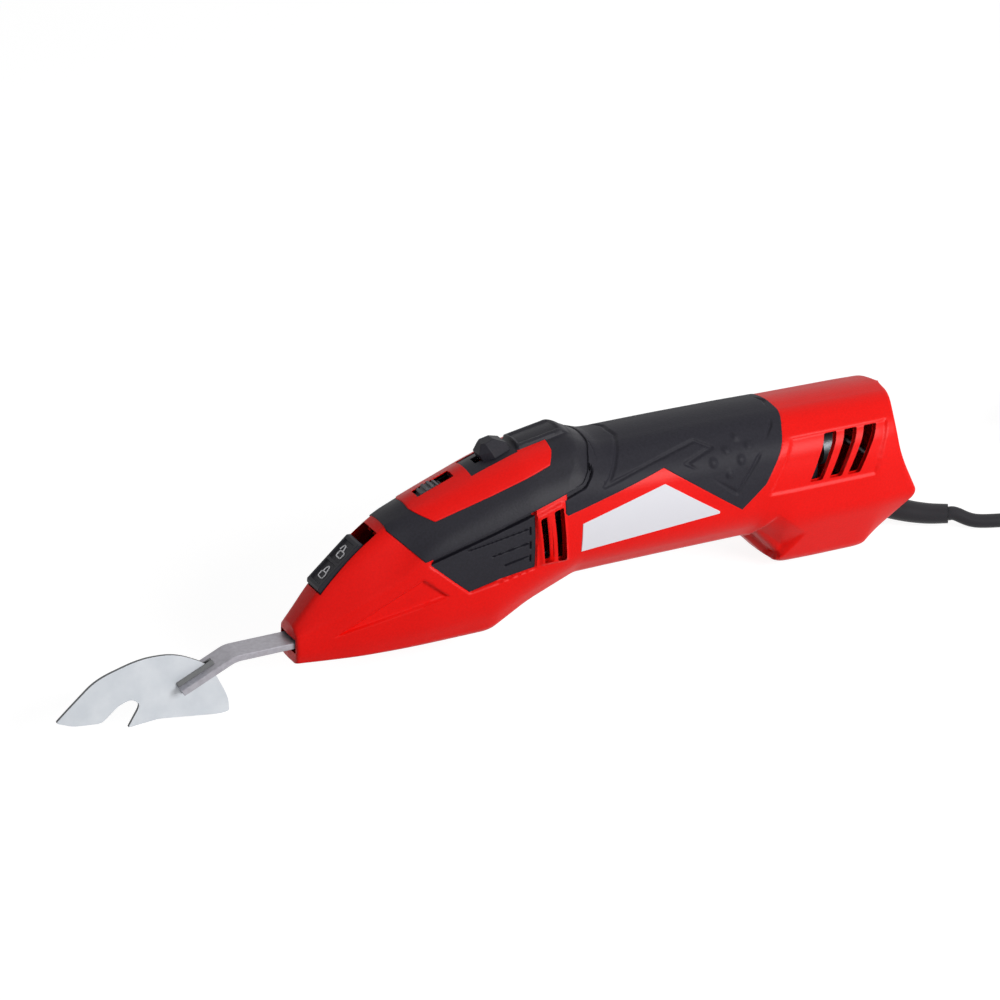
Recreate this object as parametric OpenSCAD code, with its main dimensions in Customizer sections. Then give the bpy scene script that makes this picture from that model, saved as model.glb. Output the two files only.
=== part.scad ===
// Corded power scraper: a two-part plastic body with soft grips, a motor, a rocking blade drive and a cord.
// Lengths are millimetres. The tool lies along X with its nose at zero and is then seated on the floor.

/* [Body] */
// length of the plastic body from nose to rear
body_len = 300; // [200:1:400]
// greatest width of the body
body_wide = 56; // [40:0.5:80]
// height from the nose underside to the top of the cap
body_high = 84; // [60:0.5:110]
// wall of a housing half
wall = 3.6; // [2.5:0.1:5]
// depth of the soft grip layer
grip_deep = 1.4; // [0.8:0.1:2]
// depth of the front cap
cap_deep = 2; // [1:0.1:3]
// drop of the lower pad below the body surface
pad_drop = 1; // [0.4:0.1:1.6]
// depth of the lower pad layer
pad_deep = 1.4; // [0.8:0.1:2]
// depth of the red switch panel
panel_deep = 1; // [0.6:0.1:1.6]
// thickness of the label
label_deep = 0.4; // [0.2:0.1:0.8]
// height of the rail behind the switch knob
rail_high = 1.6; // [0.8:0.1:3]
// width of that rail
rail_wide = 13; // [10:0.5:16]

/* [Vents and openings] */
// width of a side vent slot
vent_wide = 3.2; // [2:0.1:5]
// distance between the two side vent slots
vent_step = 6.7; // [5:0.1:10]
// width of a rear vent slot
rear_vent_wide = 5.6; // [3:0.1:8]
// distance between the three rear vent slots
rear_vent_step = 9.5; // [7:0.1:12]
// width of the shank opening in the nose
mouth_wide = 14.6; // [13.8:0.1:16]
// height of the shank opening in the nose
mouth_high = 6.4; // [5:0.1:8]

/* [Blade] */
// length of the blade plate
blade_len = 76; // [50:0.5:110]
// height of the blade plate
blade_high = 33; // [20:0.5:50]
// thickness of the blade plate
blade_thick = 1.6; // [1:0.1:3]
// width of the shank bar
shank_wide = 13; // [8:0.5:16]
// thickness of the shank bar
shank_thick = 2.8; // [2:0.1:4]
// height of the shank above the nose underside
shank_high = 8.8; // [6:0.1:12]
// straight length of the shank in front of the nose
shank_reach = 26; // [15:0.5:40]
// length of the bent end of the shank
shank_tail = 26; // [15:0.5:40]
// bend of the shank, degrees
shank_bend = 24; // [10:1:40]
// length of the shank inside the holder
shank_hold = 34; // [25:0.5:45]
// leg of a weld bead
bead = 1.8; // [1:0.1:3]

/* [Drive] */
// height of the motor axis above the nose underside
motor_high = 47; // [40:0.5:55]
// diameter of the motor shaft
shaft_wide = 8; // [6:0.5:10]
// throw of the eccentric
throw = 0.8; // [0.4:0.1:1.2]
// diameter of the eccentric
cam_wide = 11.2; // [10:0.2:13]
// outer diameter of the eccentric bearing
cam_ring_wide = 16; // [14:0.5:20]
// width of the eccentric bearing along the shaft
cam_ring_long = 7; // [5:0.5:10]
// outer diameter of the front bearing
front_ring_wide = 19; // [16:0.5:24]
// outer diameter of the rear bearing
rear_ring_wide = 16; // [14:0.5:20]
// width of the two shaft bearings along the shaft
ring_long = 7; // [5:0.5:10]
// diameter of the armature core
core_wide = 30; // [24:0.5:36]
// length of the armature core
core_long = 46; // [30:1:60]
// air gap between armature and field core
air_gap = 0.6; // [0.4:0.1:1]
// outer diameter of the field core
field_wide = 44; // [40:0.5:46]
// diameter of the commutator
commutator_wide = 21; // [16:0.5:25]
// length of the commutator
commutator_long = 16; // [10:0.5:20]
// diameter of the fan
fan_wide = 40; // [30:1:42]
// length of the fan
fan_long = 12; // [8:0.5:16]
// thickness of the fan's disc and blades
fan_thick = 1.6; // [1:0.1:2.5]
// diameter of the pivot pin
pivot_wide = 6; // [4:0.5:8]
// width of the rocker arm
arm_wide = 10; // [6:0.5:14]
// width of the tool holder
holder_wide = 16; // [14.6:0.2:17]
// free play of the fork beside the eccentric bearing
fork_play = 2; // [1.8:0.1:3]

/* [Controls] */
// travel of the switch knob
switch_travel = 6; // [3:0.5:9]
// width of the switch knob
knob_wide = 15; // [10:0.5:18]
// height of the switch knob
knob_high = 7; // [4:0.5:10]
// length of the switch knob
knob_long = 16; // [10:0.5:20]
// diameter of the speed dial
dial_wide = 16; // [12:0.5:20]
// thickness of the speed dial
dial_thick = 5.4; // [3:0.2:7]
// diameter of the dial's axle
axle_wide = 3; // [2:0.5:4]
// travel of the blade lock slider
lock_travel = 7; // [4:0.5:10]
// length of the lock slider
lock_long = 27; // [18:0.5:34]
// width of the lock slider
lock_wide = 12; // [8:0.5:15]
// height of the lock slider
lock_high = 3; // [2:0.1:5]

/* [Cord] */
// diameter of the cord
cord_wide = 6.4; // [5:0.1:9]
// diameter of the strain relief where it leaves the body
relief_wide = 11.6; // [9:0.2:14]
// diameter of the strain relief at its tip
relief_tip_wide = 8.8; // [7:0.2:11]
// outer radius of the coil at the middle of its cord
coil_reach = 46; // [35:0.5:60]
// step from one turn of the coil to the next
coil_step = 7; // [6:0.1:10]
// thickness of the tie round the coil
tie_thick = 1.4; // [0.8:0.1:2]
// width of the tie
tie_wide = 9; // [5:0.5:14]
// width of the plug body
plug_wide = 35; // [30:0.5:38]
// height of the plug body
plug_high = 14; // [13:0.2:18]
// length of the plug body
plug_long = 36; // [30:0.5:45]
// diameter of a plug pin
pin_wide = 4; // [3.8:0.1:5]
// length of a plug pin
pin_long = 19; // [17:0.5:20]
// distance between the plug pins
pin_apart = 19; // [17:0.1:20]

/* [Fits] */
// clearance between pieces that move
play = 0.5; // [0.3:0.05:1]
// radial clearance of the pivot bushes
running_fit = 0.05; // [0.02:0.01:0.1]
// clearance round fixed inner pieces
seat_gap = 0.2; // [0.1:0.05:0.4]
// overrun of cutting shapes
over = 1; // [0.5:0.1:3]
// diameter of a housing screw
screw_wide = 3.5; // [2.5:0.1:5]
// diameter of a housing screw head
screw_head = 6.6; // [5:0.1:9]

/* [Hidden] */
$fn = 48;

red = [0.85, 0.08, 0.05];
dark = [0.17, 0.17, 0.19];
steel = [0.75, 0.76, 0.78];
brass = [0.8, 0.62, 0.3];
copper = [0.72, 0.4, 0.2];

// rounded paths
// quadratic corner between the points a, b and c, reaching the given share of half of each side
function corner(a, b, c, share, steps) = [
    for (i = [0:steps])
        let (t = i / steps, p = b + (a - b) * share / 2, q = b + (c - b) * share / 2)
            (1 - t) ^ 2 * p + 2 * t * (1 - t) * b + t ^ 2 * q
];
function rounded_path(points, shares, steps) = concat(
    [points[0]],
    [for (i = [1:len(points) - 2]) each corner(points[i - 1], points[i], points[i + 1], shares[i], steps)],
    [points[len(points) - 1]]
);
function rounded_loop(points, shares, steps) = [
    for (i = [0:len(points) - 1])
        let (n = len(points))
            each corner(points[(i + n - 1) % n], points[i], points[(i + 1) % n], shares[i], steps)
];
function unit(v) = v / norm(v);
function part_of(points, shares) = [for (s = shares) [s[0] * points[0], s[1] * points[1]]];

// body surface: stations from nose to rear, each a half section of seven points
// the points run from the crest over crest edge, shoulder, belt, lower flank and base edge to the underside
half_wide = body_wide / 2;
level = [1, 1, 1, 1, 1, 1, 1];
flat_shares = [0, 0, 0, 0, 0, 0, 0];
// each station: x, y and z shares of length, half width and height, then the rounding share and the end
station_rows = [
    [[0.002, 0.0015, 0.0005, 0, 0, 0.001, 0.002], flat_shares,
        [0.2, 0.195, 0.155, 0.107, 0.054, 0.008, 0.006], 0, 1],
    [0.002 * level, [0, 0.16, 0.3, 0.32, 0.31, 0.26, 0],
        [0.208, 0.202, 0.16, 0.107, 0.054, 0.006, 0.006], 0.25, 1],
    [0.043 * level, [0, 0.2, 0.4, 0.42, 0.41, 0.35, 0],
        [0.385, 0.365, 0.215, 0.143, 0.071, 0.002, 0.002], 0.8, 0],
    [0.093 * level, [0, 0.26, 0.54, 0.56, 0.54, 0.46, 0],
        [0.545, 0.522, 0.31, 0.19, 0.095, 0, 0], 0.8, 0],
    [0.143 * level, [0, 0.3, 0.65, 0.67, 0.65, 0.53, 0],
        [0.668, 0.646, 0.4, 0.262, 0.119, 0.002, 0.001], 0.8, 0],
    [0.193 * level, [0, 0.36, 0.75, 0.79, 0.75, 0.59, 0],
        [0.752, 0.73, 0.55, 0.333, 0.143, 0.007, 0.004], 0.7, 0],
    [0.287 * level, [0, 0.43, 0.85, 0.9, 0.84, 0.65, 0],
        [0.87, 0.85, 0.665, 0.43, 0.18, 0.014, 0.008], 0.3, 0],
    [0.347 * level, [0, 0.46, 0.89, 0.94, 0.88, 0.62, 0],
        [0.935, 0.915, 0.73, 0.5, 0.274, 0.13, 0.12], 0.4, 0],
    [0.423 * level, [0, 0.48, 0.91, 0.95, 0.88, 0.57, 0],
        [0.985, 0.965, 0.77, 0.55, 0.357, 0.228, 0.206], 0.35, 0],
    [0.477 * level, [0, 0.48, 0.91, 0.95, 0.88, 0.57, 0],
        [0.905, 0.88, 0.745, 0.56, 0.357, 0.23, 0.208], 0.3, 0],
    [0.6 * level, [0, 0.48, 0.91, 0.96, 0.88, 0.57, 0],
        [0.905, 0.88, 0.745, 0.56, 0.357, 0.23, 0.208], 0.5, 0],
    [0.713 * level, [0, 0.48, 0.91, 0.96, 0.88, 0.57, 0],
        [0.9, 0.875, 0.745, 0.56, 0.357, 0.228, 0.206], 0.3, 0],
    [0.767 * level, [0, 0.48, 0.92, 0.98, 0.93, 0.58, 0],
        [0.895, 0.87, 0.745, 0.56, 0.31, 0.024, 0.016], 0.25, 0],
    [0.913 * level, [0, 0.48, 0.93, 1, 0.95, 0.58, 0],
        [0.885, 0.862, 0.745, 0.56, 0.32, 0.02, 0.012], 0.3, 0],
    [[0.945, 0.945, 0.942, 0.955, 0.99, 0.937, 0.937], [0, 0.48, 0.89, 0.96, 0.91, 0.5, 0],
        [0.875, 0.852, 0.745, 0.56, 0.32, 0.09, 0.084], 0.3, -1],
    [[0.95, 0.95, 0.948, 0.962, 0.995, 0.943, 0.943], flat_shares,
        [0.87, 0.845, 0.745, 0.56, 0.31, 0.1, 0.094], 0, -1]
];
section_shares = [0, 0.7, 0.75, 0.8, 0.8, 0.6, 0];
// how far each section point moves inwards and down for an inset of one
inward_shares = [[0, 1], [0.35, 1], [0.85, 0.6], [1, 0], [1, -0.3], [0.6, -1], [0, -1]];
station_shares = [for (row = station_rows) row[3]];
points_last = len(inward_shares) - 1;
row_steps = 1;
col_steps = 2;

function net_point(row, j, inset) = [
    row[0][j] * body_len + row[4] * inset,
    row[1][j] > 0 ? row[1][j] * half_wide - inward_shares[j][0] * inset : 0,
    row[2][j] * body_high - inward_shares[j][1] * inset
];
// half of the body surface as rows of points, with rounded corners
outer_grid =
    let (
        columns = [
            for (j = [0:points_last])
                rounded_path([for (row = station_rows) net_point(row, j, 0)], station_shares, row_steps)
        ]
    )
        [
            for (i = [0:len(columns[0]) - 1])
                rounded_path([for (j = [0:points_last]) columns[j][i]], section_shares, col_steps)
        ];
// the hollow inside the wall keeps plain corners and is level across its crest and its floor
function hollow_point(row, j) =
    let (p = net_point(row, j, wall), k = row[1][1] > 0 ? min(max(j, 1), points_last - 1) : j)
        [p[0], p[1], net_point(row, k, wall)[2]];
hollow_grid = [for (row = station_rows) [for (j = [0:points_last]) hollow_point(row, j)]];

// indices of the edge points of a grid of n rows and m columns, in order
function grid_edge(n, m) = concat(
    [for (j = [0:m - 2]) j],
    [for (i = [0:n - 2]) i * m + m - 1],
    [for (j = [m - 1:-1:1]) (n - 1) * m + j],
    [for (i = [n - 1:-1:1]) i * m]
);
// triangles over a grid whose first point has the index start
function grid_faces(n, m, start, flip) = [
    for (i = [0:n - 2])
        for (j = [0:m - 2])
            let (a = start + i * m + j)
                each flip
                    ? [[a, a + 1, a + m], [a + 1, a + m + 1, a + m]]
                    : [[a, a + m, a + 1], [a + 1, a + m, a + m + 1]]
];
rows_last = len(outer_grid) - 1;
cols_last = len(outer_grid[0]) - 1;

// closed solid between two grids of points with the same rows and columns
module shell(out, in) {
    n = len(out);
    m = len(out[0]);
    count = n * m;
    points = concat([for (row = out) each row], [for (row = in) each row]);
    edge = grid_edge(n, m);
    last = len(edge) - 1;
    faces = concat(
        grid_faces(n, m, 0, true),
        grid_faces(n, m, count, false),
        [for (i = [0:last]) [edge[i], count + edge[i], edge[(i + 1) % (last + 1)]]],
        [for (i = [0:last]) let (k = edge[(i + 1) % (last + 1)]) [k, count + edge[i], count + k]]
    );
    polyhedron(points = points, faces = faces);
}

// closed solid between a grid whose edge lies in the middle plane and its own image in that plane
module half_solid(grid) {
    points = [for (row = grid) each row];
    count = len(points);
    image = [for (p = points) [p[0], 0, p[2]]];
    // triangles that lie flat in the middle plane are left out
    faces = grid_faces(len(grid), len(grid[0]), 0, true);
    sides = [for (f = faces) if (max([for (i = f) points[i][1]]) > 0) f];
    backs = [for (f = sides) [for (k = [2:-1:0]) points[f[k]][1] > 0 ? count + f[k] : f[k]]];
    polyhedron(points = concat(points, image), faces = concat(sides, backs));
}

// section of the body surface at x
function section_at(x) =
    let (
        i = max([for (k = [0:rows_last - 1]) if (outer_grid[k][0][0] <= x) k]),
        a = outer_grid[i],
        b = outer_grid[i + 1],
        t = (x - a[0][0]) / (b[0][0] - a[0][0])
    )
        a + t * (b - a);
// place along a section, as a whole and part index, where it comes down to the height z
function index_at(section, z) =
    z >= section[0][2] ? 0
    : let (j = max([for (k = [0:cols_last - 1]) if (section[k][2] > z) k]))
        j + (section[j][2] - z) / (section[j][2] - section[j + 1][2]);
function point_at(section, u) =
    let (j = min(floor(u), cols_last - 1))
        section[j] + (u - j) * (section[j + 1] - section[j]);
// direction from a point of a section towards its middle
function inward(section, p) = unit([0, -p[1], (section[0][2] + section[cols_last][2]) / 2 - p[2]]);
// rows of points over a region of the right side between two edges, each a table of heights over x
function region_grid(xs, high, low, inset) = [
    for (x = xs)
        let (
            section = section_at(x),
            a = index_at(section, lookup(x, high)),
            b = index_at(section, lookup(x, low))
        )
            [
                for (k = [0:region_steps])
                    let (p = point_at(section, a + (b - a) * k / region_steps))
                        p + inset * inward(section, p)
            ]
];
region_steps = 4;
// the same rows carried over the crest to the left side
function both_sides_grid(grid) = [
    for (row = grid)
        concat([for (k = [region_steps:-1:1]) [row[k][0], -row[k][1], row[k][2]]], row)
];
module region(xs, high, low, outside, inside) {
    shell(region_grid(xs, high, low, outside), region_grid(xs, high, low, inside));
}
module wide_region(xs, high, low, outside, inside) {
    shell(
        both_sides_grid(region_grid(xs, high, low, outside)),
        both_sides_grid(region_grid(xs, high, low, inside))
    );
}

// lower edge of a pocket, clear of the piece in it
function lowered(edge) = [for (p = edge) p - [0, seat_gap]];

module mirrored() {
    mirror([0, 1, 0])
        children();
}

// outline in the XZ plane carried from the middle plane to past the right side
module side_prism(outline) {
    translate([0, half_wide + over, 0])
        rotate([90, 0, 0])
            linear_extrude(half_wide + over)
                polygon(outline);
}

// outline in the XZ plane carried equally to both sides of the middle plane
module slab(outline, wide) {
    translate([0, wide / 2, 0])
        rotate([90, 0, 0])
            linear_extrude(wide)
                polygon(outline);
}

module block(x, y, z) {
    translate([x[0], y[0], z[0]])
        cube([x[1] - x[0], y[1] - y[0], z[1] - z[0]]);
}

// cylinder along X
module rod_x(x, wide, z = motor_high, y = 0) {
    translate([x[0], y, z])
        rotate([0, 90, 0])
            cylinder(h = x[1] - x[0], d = wide);
}

// cylinder along Y
module rod_y(y, wide, x, z) {
    translate([x, y[1], z])
        rotate([90, 0, 0])
            cylinder(h = y[1] - y[0], d = wide);
}

body_box = [body_len, body_high];

// surface regions: x stations as shares of the length, edge heights as shares of the height
crest = [[0, 2 * body_high], [body_len, 2 * body_high]];
cap_low = part_of(
    body_box,
    [
        [0.142, 0.64], [0.183, 0.494], [0.343, 0.675], [0.387, 0.723], [0.423, 0.768], [0.437, 0.821],
        [0.447, 0.89], [0.458, 0.925]
    ]
);
cap_xs = body_len * [
    0.142, 0.155, 0.168, 0.183, 0.21, 0.25, 0.287, 0.315, 0.343, 0.365, 0.387, 0.405, 0.423, 0.437, 0.447,
    0.458
];
panel_low = part_of(body_box, [[0.18, 0.715], [0.207, 0.669], [0.383, 0.862], [0.393, 0.917]]);
panel_xs = body_len * [0.18, 0.193, 0.207, 0.23, 0.26, 0.287, 0.32, 0.347, 0.383, 0.393];
pad_high = part_of(body_box, [[0.19, 0.482], [0.342, 0.652], [0.347, 0.655]]);
pad_low = part_of(body_box, [[0.19, 0.465], [0.247, 0.292], [0.293, 0.337], [0.347, 0.367]]);
pad_xs = body_len * [0.19, 0.205, 0.225, 0.247, 0.27, 0.293, 0.32, 0.347];
// the pocket of the pad also takes in the groove below the cap
pad_pocket_high = part_of(body_box, [[0.19, 0.5], [0.343, 0.675], [0.347, 0.68]]);
grip_high = part_of(
    body_box,
    [[0.393, 0.7], [0.428, 0.75], [0.442, 0.815], [0.452, 0.885], [0.463, 0.92], [0.464, 1.2], [0.77, 1.2]]
);
grip_low = part_of(
    body_box,
    [
        [0.393, 0.635], [0.397, 0.619], [0.555, 0.76], [0.683, 0.444], [0.72, 0.565], [0.747, 0.738],
        [0.763, 0.84], [0.77, 0.88]
    ]
);
grip_xs = body_len * [
    0.393, 0.41, 0.428, 0.442, 0.452, 0.463, 0.464, 0.477, 0.5, 0.527, 0.555, 0.587, 0.62, 0.65, 0.683, 0.7,
    0.72, 0.733, 0.747, 0.763, 0.77
];
grip_pocket_high = part_of(
    body_box,
    [[0.393, 0.735], [0.423, 0.768], [0.437, 0.821], [0.447, 0.89], [0.457, 0.92], [0.458, 1.2], [0.77, 1.2]]
);
label_high = part_of(body_box, [[0.42, 0.56], [0.553, 0.684], [0.645, 0.465]]);
label_low = part_of(body_box, [[0.42, 0.402], [0.645, 0.453]]);
label_xs = body_len * [0.42, 0.45, 0.48, 0.51, 0.553, 0.587, 0.62, 0.645];

// side and rear vents
vent_x = 0.363 * body_len;
vent_low = 0.387 * body_high;
vent_top = 0.645 * body_high;
vent_lean = 0.02 * body_high;
rear_vent_x = 0.816 * body_len;
rear_vent_low = 0.504 * body_high;
rear_vent_top = 0.792 * body_high;
rear_vent_lean = 0.084 * body_high;

module slot_row(count, first, step, wide, low, top, lean) {
    for (i = [0:count - 1])
        side_prism(
            [
                [first + i * step - wide / 2 - lean / 2, low], [first + i * step + wide / 2 - lean / 2, low],
                [first + i * step + wide / 2 + lean / 2, top], [first + i * step - wide / 2 + lean / 2, top]
            ]
        );
}

module vents() {
    slot_row(2, vent_x + vent_wide / 2, vent_step, vent_wide, vent_low, vent_top, -vent_lean);
    slot_row(3, rear_vent_x, rear_vent_step, rear_vent_wide, rear_vent_low, rear_vent_top, rear_vent_lean);
}

// housing screws, entered from the right side
screw_spots = part_of(body_box, [[0.25, 0.13], [0.39, 0.33], [0.5, 0.79], [0.735, 0.322], [0.935, 0.5]]);
boss_wide = screw_head + 1.6 * wall;

// how far in from the middle plane the housing wall lies at x and z
function wall_y(x, z) =
    let (section = section_at(x))
        point_at(section, index_at(section, z))[1] - boss_sink_share * wall;
boss_sink_share = 0.75;
module bosses() {
    for (s = screw_spots)
        rod_y([0, wall_y(s[0], s[1])], boss_wide, s[0], s[1]);
}

// inner ribs of a housing half
rib_thick = 3;
rib_fuse_share = 0.7;
web_count = 4;
rear_ring_x = 0.857 * body_len;
core_x = 0.54 * body_len;
field_x = core_x + over;
field_long = core_long - 2 * over;
web_x = 0.16 * body_len;
web_step = 0.025 * body_len;
web_wide = 0.3 * half_wide;

// wall across a housing half that follows the section at x, with a hole round the motor axis
module bulkhead(x, long, hole) {
    section = section_at(x + long / 2);
    edge = [
        for (p = section)
            let (q = p + rib_fuse_share * wall * inward(section, p))
                [max(0, q[1]), q[2]]
    ];
    difference() {
        translate([x, 0, 0])
            rotate([90, 0, 90])
                linear_extrude(long)
                    polygon(edge);
        rod_x([x - over, x + long + over], hole);
    }
}

// short webs across the floor of the nose
module webs() {
    for (i = [0:web_count - 1])
        block(
            [web_x + i * web_step, web_x + i * web_step + rib_thick],
            [0, web_wide],
            [wall / 2, wall + over]
        );
}

// rests beside the plate of the drive frame
plate_x = 0.317 * body_len;
plate_thick = 10;
plate_wide = 32;
plate_low = 0.393 * body_high;
plate_top = 0.702 * body_high;
module plate_rests() {
    for (z = [plate_low + rib_thick, plate_top - 2 * rib_thick])
        block(
            [plate_x + over, plate_x + plate_thick - over],
            [plate_wide / 2, wall_y(plate_x + plate_thick / 2, z)],
            [z, z + rib_thick]
        );
}

module inner_ribs() {
    bosses();
    webs();
    plate_rests();
    bulkhead(rear_ring_x, ring_long, rear_ring_wide + 2 * seat_gap);
    bulkhead(field_x + rib_thick, rib_thick, field_wide + 2 * seat_gap);
    bulkhead(field_x + field_long - 2 * rib_thick, rib_thick, field_wide + 2 * seat_gap);
}

// slide frame of the blade lock, on the sloping crest of the nose
lock_x = 0.0733 * body_len;
lock_z = 0.48 * body_high;
lock_tilt = 41;
lock_sink = 2.2;
stem_long = 8;
stem_wide = 4;
stem_deep = 9;
module on_nose() {
    translate([lock_x, 0, lock_z])
        rotate([0, -lock_tilt, 0])
            children();
}

// slide frame of the switch knob, on the crest of the cap
knob_x = 0.32 * body_len;
knob_z = 0.906 * body_high;
knob_tilt = 17.5;
rod_long = 6;
rod_wide = 4;
rod_deep = 7;
module on_cap() {
    translate([knob_x, 0, knob_z])
        rotate([0, -knob_tilt, 0])
            children();
}

// slot in which a stem of the given length slides by the travel given, from start towards end
module stem_slot(long, wide, from, to, deep) {
    block(
        [from - long / 2 - play, to + long / 2 + play],
        [-wide / 2 - play, wide / 2 + play],
        [-deep - over, over]
    );
}

module lock_cuts() {
    on_nose() {
        block(
            [-lock_long / 2 - play, lock_long / 2 + lock_travel + play],
            [-lock_wide / 2 - play, lock_wide / 2 + play],
            [-lock_sink - play, lock_high + over]
        );
        stem_slot(stem_long, stem_wide, 0, lock_travel, lock_high + wall);
    }
}

module knob_cuts() {
    on_cap()
        stem_slot(rod_long, rod_wide, -switch_travel, 0, knob_high);
}

// bed of the knob, cut through the panel only
module knob_bed() {
    on_cap()
        block(
            [-knob_long / 2 - switch_travel - play, knob_long / 2 + play],
            [-knob_wide / 2 - play, knob_wide / 2 + play],
            [-knob_high, knob_high]
        );
}

// speed dial
dial_x = 0.2267 * body_len;
dial_z = 0.71 * body_high;
lug_thick = 3;
lug_gap = 0.6;
lug_drop = 2.3;
lug_long = 2 * axle_wide;
module dial_slot() {
    block(
        [dial_x - dial_wide / 2 - play, dial_x + dial_wide / 2 + play],
        [-dial_thick / 2 - play, dial_thick / 2 + play],
        [0, 2 * body_high]
    );
}

module dial_window() {
    lug_end = dial_thick / 2 + lug_gap + lug_thick + play;
    block(
        [dial_x - dial_wide / 2 - 2 * play, dial_x + dial_wide / 2 + 2 * play],
        [-lug_end, lug_end],
        [dial_z - dial_wide, 2 * body_high]
    );
}

// route of the strain relief, in the tool's frame, from the front of the cord clamp behind the rear bearing
clamp_gap = 2.9;
clamp_x0 = rear_ring_x + ring_long + clamp_gap;
relief_steps = [
    [-2, 0, 20], [7, 0, 20], [14, 0, 18], [21, -2, 15], [28, -6, 12.5], [35, -11, 11], [42, -16, 10.5],
    [49, -21, 11]
];
relief_route = [for (p = relief_steps) [clamp_x0, 0, 0] + p];
relief_last = len(relief_route) - 1;
relief_radii = [
    for (i = [0:relief_last])
        let (t = max(0, (i - 2) / (relief_last - 2)))
            (relief_wide + (relief_tip_wide - relief_wide) * t) / 2
];

// tubes along a route of points
function route_way(route, i) = unit(route[min(i + 1, len(route) - 1)] - route[max(i - 1, 0)]);
module tube(route, radii, sides) {
    last = len(route) - 1;
    points = [
        for (i = [0:last])
            let (
                way = route_way(route, i),
                side = unit(cross(way, [0, 0, 1])),
                up = cross(side, way)
            )
                for (k = [0:sides - 1])
                    route[i] + radii[i] * (cos(360 * k / sides) * side + sin(360 * k / sides) * up)
    ];
    faces = concat(
        [for (i = [0:last - 1]) for (k = [0:sides - 1]) let (n = (k + 1) % sides)
            [i * sides + k, i * sides + n, (i + 1) * sides + k]],
        [for (i = [0:last - 1]) for (k = [0:sides - 1]) let (n = (k + 1) % sides)
            [i * sides + n, (i + 1) * sides + n, (i + 1) * sides + k]],
        [for (k = [1:sides - 2]) [0, k + 1, k]],
        [for (k = [1:sides - 2]) [last * sides, last * sides + k, last * sides + k + 1]]
    );
    polyhedron(points = points, faces = faces);
}
function steady(route, radius) = [for (p = route) radius];

// blade and shank outlines in the XZ plane
blade_gap = 27.8;
blade_drop = 18.4;
blade_shares = [
    [0, 0.39, 0.3], [0.08, 0.55, 0.3], [0.24, 0.86, 0.7], [0.5, 1.02, 0.8], [0.7, 0.99, 0.8],
    [0.9, 0.74, 0.8], [1, 0.24, 0.7], [1.005, 0, 0.5], [0.59, 0.14, 0.2], [0.41, 0.11, 0.1],
    [0.487, 0.39, 0.6], [0.44, 0.5, 0.9], [0.36, 0.44, 0.6], [0.26, 0.25, 0.4], [0.1, 0.29, 0.6]
];
blade_steps = 3;
blade_loop = rounded_loop(
    [for (s = blade_shares) [s[0] * blade_len - blade_gap - blade_len, s[1] * blade_high - blade_drop]],
    [for (s = blade_shares) s[2]],
    blade_steps
);
bend_x = -shank_reach;
shank_end = [bend_x - shank_tail * cos(shank_bend), shank_high - shank_tail * sin(shank_bend)];
miter = shank_thick / 2 * tan(shank_bend / 2);
across = shank_thick / 2 * [sin(shank_bend), cos(shank_bend)];
tail_up = [-across[0], across[1]];
bend_share = 0.4;
function band_side(sign) = rounded_path(
    [
        [shank_hold, shank_high + sign * shank_thick / 2],
        [bend_x - sign * miter, shank_high + sign * shank_thick / 2],
        shank_end + sign * tail_up
    ],
    [0, bend_share, 0],
    blade_steps
);
shank_outline = concat(band_side(1), [for (i = [len(band_side(-1)) - 1:-1:0]) band_side(-1)[i]]);

// seat on the floor: the pitch at which the blade and the foot of the body both touch it
body_edge = [for (row = outer_grid) for (p = row) [p[0], p[2]]];
function drop_of(points, pitch) = min([for (p = points) p[1] * cos(pitch) - p[0] * sin(pitch)]);
function even_pitch(low, high, steps) =
    let (mid = (low + high) / 2)
        steps == 0 ? mid
        : drop_of(body_edge, mid) > drop_of(blade_loop, mid) ? even_pitch(mid, high, steps - 1)
        : even_pitch(low, mid, steps - 1);
seat_pitch = even_pitch(0, 10, 20);
seat_z = -drop_of(blade_loop, seat_pitch);
function lean_x(p) = p[0] * cos(seat_pitch) + p[1] * sin(seat_pitch);
front_x = min([for (p = blade_loop) lean_x(p)]);
rear_x = max([for (p = body_edge) lean_x(p)]);
seat_x = -(front_x + rear_x) / 2;
function seated(p) = [
    p[0] * cos(seat_pitch) + p[2] * sin(seat_pitch) + seat_x,
    p[1],
    p[2] * cos(seat_pitch) - p[0] * sin(seat_pitch) + seat_z
];
module seat() {
    translate([seat_x, 0, seat_z])
        rotate([0, seat_pitch, 0])
            children();
}

// cord on the floor, placed from the tip of the strain relief: lead, coil in two layers, tail to the plug
cord_r = cord_wide / 2;
relief_tip = seated(relief_route[relief_last]);
coil_off = [116.5, -12];
coil_spot = [relief_tip[0] + coil_off[0], coil_off[1]];
coil_lift = cord_r + tie_thick + seat_gap;
coil_in = 3.5;
coil_climb = 0.5;
coil_out = 3;
coil_rings = 24;
coil_z2 = coil_lift + coil_step;
// radius and height of the coil after the given number of turns
function coil_radius(t) =
    t < coil_in + coil_climb / 2 ? coil_reach - coil_step * t
    : coil_reach - coil_step * (2 * coil_in + coil_climb - t);
function coil_height(t) =
    coil_lift + coil_step * (1 - cos(180 * min(1, max(0, (t - coil_in) / coil_climb)))) / 2;
function coil_point(t) = [
    coil_spot[0] + coil_radius(t) * cos(360 * t - 90),
    coil_spot[1] + coil_radius(t) * sin(360 * t - 90),
    coil_height(t)
];
coil_turns = coil_in + coil_climb + coil_out;
coil_start = coil_point(0) - [cord_wide, 0, 0];
coil_end = coil_point(coil_turns) + [cord_wide, 0, 0];
coil_route = concat(
    [coil_start],
    [for (i = [0:coil_turns * coil_rings]) coil_point(i / coil_rings)],
    [coil_end]
);
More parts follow.
